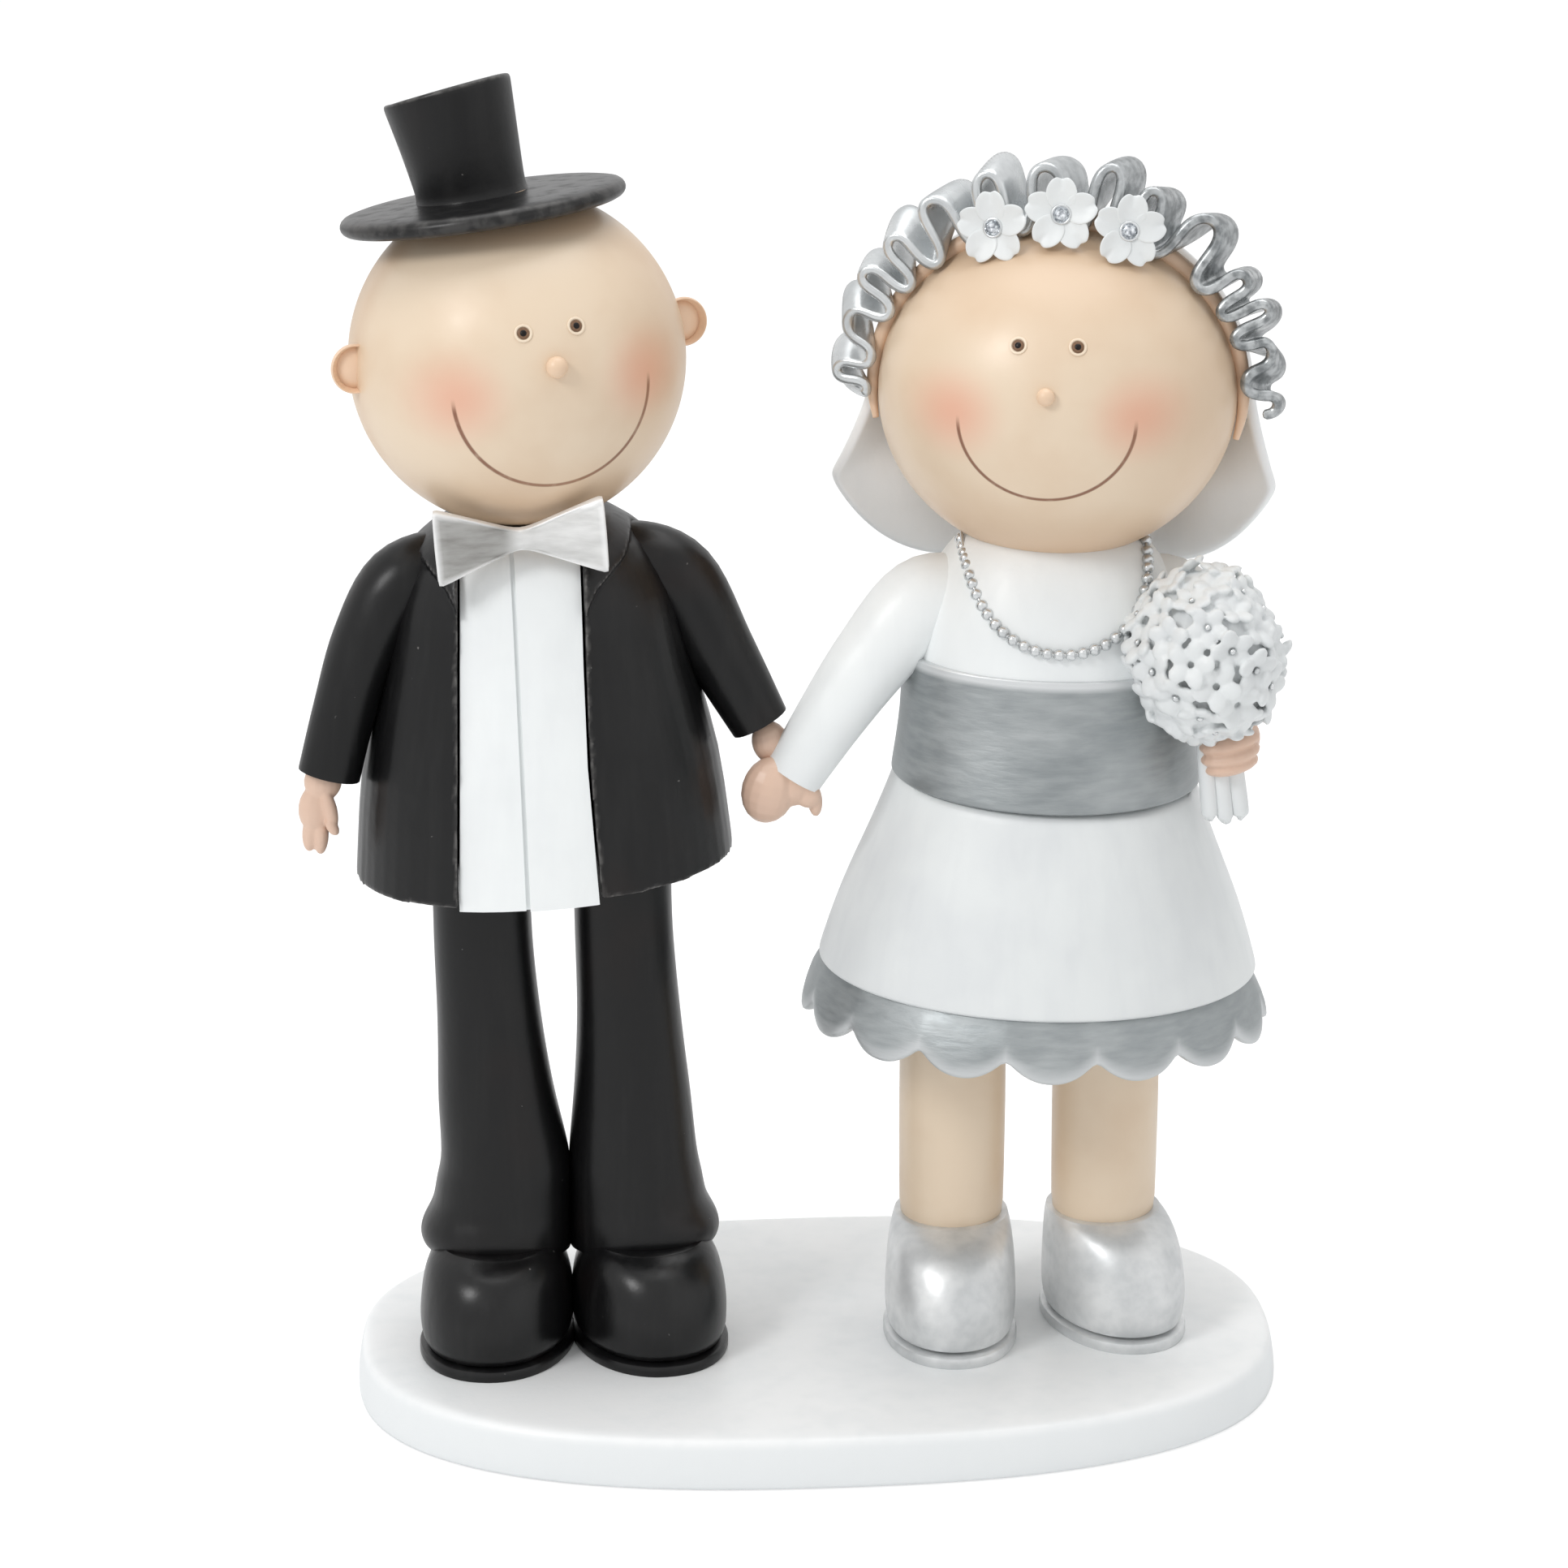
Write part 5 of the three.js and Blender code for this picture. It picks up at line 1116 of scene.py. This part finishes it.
def makeHeadBand(s):
    # A low skin-coloured ridge carries the garland; at both ends it shows as the rim of an ear
    stops = []
    for step in range(s["steps"] + 1):
        angle = math.radians(s["from"] + (s["to"] - s["from"]) * step / s["steps"])
        swell = math.sin(math.pi * (step + 0.4) / (s["steps"] + 0.8)) ** 0.4
        stops.append(((s["half"][0] + s["stand"]) * math.sin(angle), s["y"],
                      (s["half"][2] + s["stand"]) * math.cos(angle), s["radius"] * swell))
    band = limb(stops, 6)
    moveTo(band, brideHeadMatrix)
    finish(band, "brideHeadBand", earPaint)


makeHeadBand(headBandSettings)
print("stage: heads")


# Top hat

# Brim rows: height over the seat and share of the radius; crown rows: shares of height, foot and tilt
hatSettings = {
    "seat": 15.6, "brim": 15.6, "crown": (-0.6, 1.6), "low": 1.89, "foot": 5.9, "high": 12.02, "lean": 1.0,
    "topRoll": 5.1, "topPitch": 7, "topFrom": 11.4,
    "brimRows": ((0.1, 0.5), (0, 0.88), (0.1, 0.95), (0.462, 0.985), (1.05, 1), (1.638, 0.985), (2.1, 0.95),
                 (2.142, 0.7), (2.226, 0.5)),
    "crownRows": ((0, 1.07, 0), (0.03, 1.03, 0), (0.08, 1.005, 0), (0.25, 1.035, 0), (0.5, 1.085, 0),
                  (0.75, 1.14, 0.5), (0.9, 1.175, 0.9), (0.965, 1.19, 1.0), (0.995, 1.17, 1.0),
                  (1.0, 1.1, 1.0)),
}


def makeHat(s):
    brim = tower(upright([(s["seat"] + rise, s["brim"] * share) for rise, share in s["brimRows"]]), 72)
    rounded(brim)
    wornAndLitEdges(brim, 0.06, 0.2)
    moveTo(brim, hatMatrix)
    finish(brim, "topHatBrim", black, ["top_hat_brim"])
    low, high = s["seat"] + s["low"], s["high"]
    x, y = s["crown"]
    rows = [(x - s["lean"] * up, y, low + high * up, s["foot"] * wide, s["foot"] * wide, s["topRoll"] * tilt,
             -s["topPitch"] * tilt) for up, wide, tilt in s["crownRows"]]
    crown = tower(rows, 64)
    edit(crown)
    pickFaces(crown, lambda c, n: n.z > 0.9 and c.z > low + s["topFrom"])
    setIn(0.8, (0, 0, -0.12))
    done()
    rounded(crown)
    wornAndLitEdges(crown, 0.06, 0.25)
    moveTo(crown, hatMatrix)
    finish(crown, "topHatCrown", black, ["top_hat_crown"])


makeHat(hatSettings)
print("stage: hat")


# Dress

dressSettings = {
    "x": -0.1, "lean": 0.9, "roll": 2.0, "hem": 44, "sash": 66.6, "sashHigh": 13.8,
    "flounce": {"half": (25.9, 23.0), "tip": 37.6, "scallops": 16, "turn": 0.4, "deep": 2.4, "bulge": 0.7,
                "thick": 1.5, "per": 10},
    # Rows: height, half width, front, back
    "skirt": ((44.0, 24.1, 21.0, 20.0), (44.35, 24.7, 21.6, 20.6), (45.4, 24.6, 21.55, 20.5),
              (52, 22.5, 20.4, 19.4), (59, 19.6, 18.8, 17.6), (64, 17.7, 17.3, 16.1),
              (66.5, 16.9, 16.5, 15.2)),
    "sashRows": ((66.3, 16.8, 16.5, 15.1), (66.6, 17.25, 16.9, 15.5), (67.4, 17.2, 16.8, 15.4),
                 (73.5, 16.5, 15.0, 14.1), (79.6, 16.55, 13.6, 12.55), (80.4, 16.65, 13.6, 12.55),
                 (80.65, 16.2, 13.2, 12.1)),
    "bodice": ((80.4, 15.5, 13.2, 12.2), (81.2, 15.5, 13.2, 12.2), (86.1, 14.9, 12.6, 11.4),
               (90.7, 12.6, 10.8, 10), (94.3, 9.4, 8.4, 8), (96.1, 6.4, 6, 6)),
}


def dressX(s, z):
    return s["x"] + s["lean"] * (z - s["hem"]) / (s["sash"] + s["sashHigh"] - s["hem"])


def dressTower(s, rows, steps, power=2.0):
    full = [(dressX(s, z), (back - front) / 2, z, wide, (front + back) / 2, -s["roll"], 0)
            for z, wide, front, back in rows]
    return tower(shifted(blended(full, steps), brideAt), 64, power)


def makeFlounce(s):
    f = s["flounce"]
    wide, deep = f["half"]
    notch, x = f["tip"] + f["deep"], dressX(s, f["tip"])
    cx, cz = x + brideAt[0], brideAt[2]
    # Each row: z, inset from the outer edge, share of the scallop's drop, share of its bulge
    rows = ((notch + 1.6, 7.0, 0, 0), (notch + 1.5, 4.0, 0.1, 0.2), (notch + 0.25, f["thick"], 1.0, 1.0),
            (notch - 0.05, f["thick"] * 0.75, 1.0, 1.0), (notch - 0.05, 0.3, 1.0, 1.0),
            (notch + 0.25, 0.0, 1.0, 1.0), (notch + 1.4, 0.15, 0.8, 0.85), (notch + 2.8, 0.75, 0.45, 0.5),
            (s["hem"] + 0.6, 2.1, 0, 0), (s["hem"] + 2.2, 3.0, 0, 0))
    tall = upright([(z, wide - inset, deep - inset) for z, inset, drop, bulge in rows], x)
    piece = tower(shifted(tall, brideAt), f["scallops"] * f["per"])

    def lobeAt(place):
        # The angle round the skirt, the scallop's lobe there (1 at its tip, 0 at a notch) and the hem's lean
        angle = math.atan2(place.y * wide / deep, place.x - cx)
        across = (angle / (2 * math.pi) * f["scallops"] - f["turn"]) % 1 * 2 - 1
        return angle, 1 - abs(across) ** 2.2, -math.tan(math.radians(s["roll"])) * (place.x - cx)

    # The scallops' lower rims are paler: wear and painted highlight
    def wornAndLit(place):
        angle, lobe, lean = lobeAt(place)
        return max(0.0, min(1.0, 1.15 - (place.z - (notch + cz - f["deep"] * lobe + lean)) / 1.6)) * 0.7

    # The scallops are drawn down and out between the notches
    for vertex in piece.data.vertices:
        place = vertex.co / mm
        z, inset, drop, bulge = min(rows, key=lambda row: abs(round(row[0] + cz, 3) - place.z))
        angle, lobe, lean = lobeAt(place)
        out = f["bulge"] * bulge * lobe
        down = f["deep"] * drop * lobe
        vertex.co += Vector((math.cos(angle) * out, math.sin(angle) * out, lean - down)) * mm
    rounded(piece)
    edgeWearAndHighlight(piece, wornAndLit)
    finish(piece, "dressFlounce", brushed, ["dress_flounce"])


def makeDress(s):
    makeFlounce(s)
    skirt = dressTower(s, s["skirt"], 2)
    rounded(skirt)
    finish(skirt, "dressSkirt", white, ["dress_skirt"])
    sash = dressTower(s, s["sashRows"], 2)
    rounded(sash)
    rimZ = s["sash"] + s["sashHigh"] + brideAt[2] - 0.45
    # The sash's top rim is paler: wear and painted highlight
    edgeWearAndHighlight(sash, lambda p: 0.85 if p.z > rimZ - 0.035 * (p.x - brideAt[0]) else 0.0)
    finish(sash, "dressSash", brushed, ["dress_sash"])
    bodice = dressTower(s, s["bodice"], 3, 2.1)
    rounded(bodice)
    finish(bodice, "dressBodice", clothPaintedLightWhite, ["dress_bodice"])


makeDress(dressSettings)
print("stage: dress")


# Necklace

necklaceSettings = {"bead": 0.7, "pitch": 1.34, "half": 10.1, "drop": 11.4, "x": 0.7, "top": 95.0, "sag": 0.8,
                    "stand": 0.55, "steps": 240}


def bodiceFront(s, x, z):
    # How far forward the bodice's surface lies at one place, seen from the front
    rows = [(bz, dressX(s, bz), wide, front) for bz, wide, front, back in s["bodice"]]
    for (z0, x0, w0, f0), (z1, x1, w1, f1) in zip(rows, rows[1:]):
        if z0 <= z <= z1:
            t = (z - z0) / (z1 - z0)
            share = min(0.999, abs(x - (x0 + (x1 - x0) * t)) / (w0 + (w1 - w0) * t))
            return -(f0 + (f1 - f0) * t) * (1 - share ** 2.1) ** (1 / 2.1)
    return -rows[-1][3]


def makeNecklace(s, dress):
    path = []
    for step in range(s["steps"] + 1):
        turn = math.pi * step / s["steps"]
        x = s["x"] - s["half"] * math.cos(turn)
        z = s["top"] - s["drop"] * math.sin(turn) ** s["sag"]
        path.append(Vector((x, bodiceFront(dress, x, z) - s["bead"] * s["stand"], z)) + Vector(brideAt))
    bead = egg((0, 0, 0), (s["bead"], s["bead"], s["bead"] * 0.92), 0, 12)
    edit(bead)
    pickFaces(bead, lambda c, n: abs(n.z) > 0.92)
    setIn(0.05)
    bpy.ops.transform.resize(value=(1, 1, 0.85), center_override=(0, 0, 0))
    done()
    beads = []
    travelled = 0.0
    for before, after in zip(path, path[1:]):
        travelled += (after - before).length
        if travelled >= s["pitch"]:
            travelled -= s["pitch"]
            beads.append(copyOf(bead, placeAt(after) @ facing(after - before)))
    bpy.data.objects.remove(bead, do_unlink=True)
    cord = limb([(p.x, p.y, p.z, 0.2) for p in path[::12]], 2)
    piece = merged(beads + [cord])
    finish(piece, "beadNecklace", gloss, ["bead_necklace"], 50)
    print("beads on the necklace:", len(beads))


makeNecklace(necklaceSettings, dressSettings)


# Bouquet

bouquetSettings = {
    "at": (16.05, -12.6, 83.2), "half": (7.6, 7.6, 9.3), "count": 64, "flower": 2.45, "hidden": 0.55,
    "wobble": 0.4, "lean": 20, "least": 0.86, "more": 0.26, "voxel": 0.2,
    # Foot and top of each stem, and the radii along it
    "stems": (((17.425, -11.0, 64.2), (15.85, -11.6, 79.2)), ((19.15, -11.0, 63.8), (17.2, -11.6, 79.2)),
              ((20.875, -11.0, 64.2), (18.55, -11.6, 79.2))),
    "radii": ((0, 0.684), (0.06, 0.969), (0.5, 0.95), (1, 0.95)),
}


def makeBlossom(radius, petals=5):
    # Petals are flattened eggs set round a middle
    parts = []
    for number in range(petals):
        petal = egg((radius * 0.58, 0, radius * 0.12), (radius * 0.5, radius * 0.4, radius * 0.2), -14, 10)
        petal.matrix_world = spin(360 * number / petals, "Z")
        parts.append(petal)
    piece = merged(parts)
    fixPlace(piece)
    return piece


def makeBouquet(s):
    centre = shifted([s["at"]], brideAt)[0]
    goldenTurn = math.pi * (3 - math.sqrt(5))
    blossom = makeBlossom(s["flower"])
    pip = egg((0, 0, s["flower"] * 0.2), (0.36, 0.36, 0.26), 0, 8)
    blossoms, pips = [], []
    # The blossoms sit on a spiral over the ball, apart from those that the body would hide
    for number in range(s["count"]):
        height = 1 - 2 * (number + 0.5) / s["count"]
        turn = number * goldenTurn
        level = math.sqrt(1 - height * height)
        out = Vector((level * math.cos(turn), level * math.sin(turn), height))
        if out.y > s["hidden"]:
            continue
        wobble = s["wobble"] * math.sin(number * 2.3)
        place = tuple(c + (r + wobble) * v for c, r, v in zip(centre, s["half"], out))
        size = s["least"] + s["more"] * math.sin(number * 3.1) ** 2
        where = (placeAt(place) @ facing(out) @ spin(s["lean"] * math.sin(number * 1.7), "X")
                 @ Matrix.Rotation(number * 0.9, 4, "Z") @ Matrix.Scale(size, 4))
        blossoms.append(copyOf(blossom, where))
        if number % 2:
            pips.append(copyOf(pip, where))
    for piece in (blossom, pip):
        bpy.data.objects.remove(piece, do_unlink=True)
    core = egg(centre, tuple(r - 0.1 for r in s["half"]), 0, 24)
    head = merged([core] + blossoms)
    fixPlace(head)
    melted(head, s["voxel"], 1, 0.4)
    finish(head, "bouquetHead", white, ["bouquet_head"])
    finish(merged(pips), "bouquetPips", gloss)
    stems = []
    for low, high in s["stems"]:
        stops = [tuple(a + (b - a) * up for a, b in zip(low, high)) + (radius,) for up, radius in s["radii"]]
        stems.append(limb(shifted(stops, brideAt), 5))
    finish(merged(stems), "bouquetStems", white, ["bouquet_stems"])


makeBouquet(bouquetSettings)
print("stage: necklace and bouquet")


# Garland, hair flowers and veil, made about the middle of the bride's head

def grid(along, across):
    calm()
    bpy.ops.mesh.primitive_grid_add(x_subdivisions=along, y_subdivisions=across, size=2)
    return bpy.context.object


def thicken(piece, thick):
    # Makes a bent grid a closed casting and sets it on the bride's head
    modify(piece, "SOLIDIFY", thickness=thick * mm, offset=0.0, use_even_offset=False)
    facesOut(piece)
    rounded(piece)
    moveTo(piece, brideHeadMatrix)


garlandSettings = {
    "from": -91, "to": 94, "waves": 14, "side": 4.1, "top": 7.6, "thick": 1.2,
    "back": 2.0, "front": -3.0, "topLean": 1.6, "skew": 2.3, "fold": 0.45,
    "long": 220, "across": 9, "half": brideHeadHalf,
    # How much each of these varies along the ribbon, and how quickly
    "skewUneven": (0.3, 23), "waveUneven": (0.6, 31), "highUneven": (0.1, 47),
    # Shares of the height at the back edge and the front edge: the middle line and the swing about it
    "middle": (0.76, 0.44), "swing": (0.18, 0.4),
}


def makeGarland(s):
    # A gathered ribbon: its back edge waves a little, and its front edge swings from the head to the tips
    # of the loops. The skew carries the front edge sideways, so that one wall of every loop shows
    def uneven(name, share):
        amount, speed = s[name]
        return amount * math.sin(share * speed)

    piece = grid(s["long"], s["across"])
    for vertex in piece.data.vertices:
        share, ahead = (vertex.co.x + 1) / 2, (vertex.co.y + 1) / 2
        skew = s["skew"] * (1 + uneven("skewUneven", share))
        wave = 2 * math.pi * s["waves"] * share + uneven("waveUneven", share) + skew * ahead
        even = share - 0.012 * math.sin(2 * math.pi * share)
        angle = math.radians(s["from"] + (s["to"] - s["from"]) * even)
        top = max(0.0, math.cos(angle))
        high = (s["side"] + (s["top"] - s["side"]) * top ** 1.3) * (1 + uneven("highUneven", share))
        back = s["middle"][0] - 0.15 * top
        middle = back + (s["middle"][1] - back) * ahead
        swing = s["swing"][0] + (s["swing"][1] - s["swing"][0]) * ahead ** 0.5 + 0.08 * top
        reach = 0.15 + high * (middle + swing * math.cos(wave))
        turned = angle + s["fold"] * 2 * swing * math.sin(2 * wave) / s["half"][0]
        y = s["back"] + (s["front"] - s["back"] - s["topLean"] * top) * ahead + 0.5 * math.cos(wave)
        x = (s["half"][0] + reach) * math.sin(turned)
        vertex.co = Vector((x, y, (s["half"][2] + reach) * math.cos(turned))) * mm
    thicken(piece, s["thick"])
    finish(piece, "hairGarland", ribbonSilver, ["hair_garland"])


makeGarland(garlandSettings)


hairSettings = {"radius": 4.1, "spacing": 7.2, "x": 0.5, "y": -6.4, "up": 2.2, "thick": 1.0, "stone": 0.85,
                "petals": 5, "half": brideHeadHalf}


def makeHairFlowers(s):
    radius = s["radius"]
    for place, name in ((-1, "left"), (0, "middle"), (1, "right")):
        petals = []
        for number in range(s["petals"]):
            # A petal: a broad flattened egg, notched at its tip and cupped towards its rim
            petal = egg((radius * 0.54, 0, 0), (radius * 0.46, radius * 0.41, s["thick"] * 0.55), 0, 36)
            for vertex in petal.data.vertices:
                along, aside = vertex.co.x / mm / radius, vertex.co.y / mm / radius
                notch = math.exp(-(aside / 0.09) ** 2) * max(0.0, along - 0.6)
                vertex.co.x -= notch * 0.22 * radius * mm
                vertex.co.z += (0.45 * (along - 0.35) ** 2 + 1.1 * aside * aside - 0.2 * notch) * radius * mm
                if number % 2:
                    vertex.co.z -= 0.12 * mm
            turn = 2 * math.pi * number / s["petals"] + math.pi / 2 + 0.12 * place
            petal.matrix_world = Matrix.Rotation(turn, 4, "Z")
            petals.append(petal)
        heart = egg((0, 0, 0.1), (radius * 0.3, radius * 0.3, s["thick"] * 0.5), 0, 16)
        flower = merged(petals + [heart])
        fixPlace(flower)
        rounded(flower)
        x = s["x"] + place * s["spacing"]
        z = s["half"][2] + s["up"] - abs(place) * 1.6
        face = (brideHeadMatrix @ placeAt((x, s["y"], z)) @ spin(-12, "X") @ spin(place * 12, "Y")
                @ spin(place * 14, "Z") @ spin(90, "X"))
        moveTo(flower, face)
        finish(flower, "hairFlower" + name.capitalize(), white, ["hair_flower_" + name])
        # A cut stone: a flat table, eight crown faces and a short wall, in a thin silver cup
        gem = tower(upright([(0.2, s["stone"]), (0.45, s["stone"]), (0.95, s["stone"] * 0.55)]), 8)
        moveTo(gem, face)
        finish(gem, "hairStone" + name.capitalize(), stone, ["hair_stone_" + name], False)
        cup = ringAt(s["stone"] + 0.12, 0.16, 24, 8, 0.45)
        fixPlace(cup)
        moveTo(cup, face)
        finish(cup, "hairStoneCup" + name.capitalize(), gloss)


makeHairFlowers(hairSettings)


veilSettings = {"half": brideHeadHalf, "clear": 1.4, "wide": 24.9, "shift": -0.8, "back": 21.5, "tip": 5.5,
                "top": 17.9, "corner": -11.5, "foot": -22.5, "cornerPower": 4.5, "folds": 3, "fold": 1.2,
                "thick": 1.3, "flareDrop": 12, "wrap": 62, "wrapMore": 20}


def makeVeil(s):
    # The veil wraps the head down to the ears and then opens out to both sides
    piece = grid(84, 28)
    for vertex in piece.data.vertices:
        around, down = vertex.co.x, (1 - vertex.co.y) / 2
        angle = math.radians(around * (s["wrap"] + s["wrapMore"] * down))
        foot = s["foot"] + (s["corner"] - s["foot"]) * abs(around) ** s["cornerPower"]
        z = s["top"] + (foot - s["top"]) * down
        rise = min(s["top"], max(0, z)) / s["half"][2]
        level = math.sqrt(max(0.0, 1 - rise * rise))
        flare = min(1.0, max(0.0, -z / s["flareDrop"])) ** 1.7
        fold = s["fold"] * down * down * math.cos(angle * s["folds"] * 2)
        clear = s["clear"] * (1 - 0.45 * rise)
        close = Vector(((s["half"][0] + clear) * level * math.sin(angle),
                        (s["half"][1] + clear) * level * math.cos(angle), z + clear * rise))
        deep = s["tip"] + (s["back"] - s["tip"]) * math.cos(math.pi / 2 * around) ** 3 + fold
        vertex.co = close.lerp(Vector((s["shift"] + s["wide"] * around, deep, z)), flare) * mm
    thicken(piece, s["thick"])
    finish(piece, "bridalVeil", veilPaintedLightWhite, ["bridal_veil"])


makeVeil(veilSettings)
print("stage: garland, hair flowers and veil")
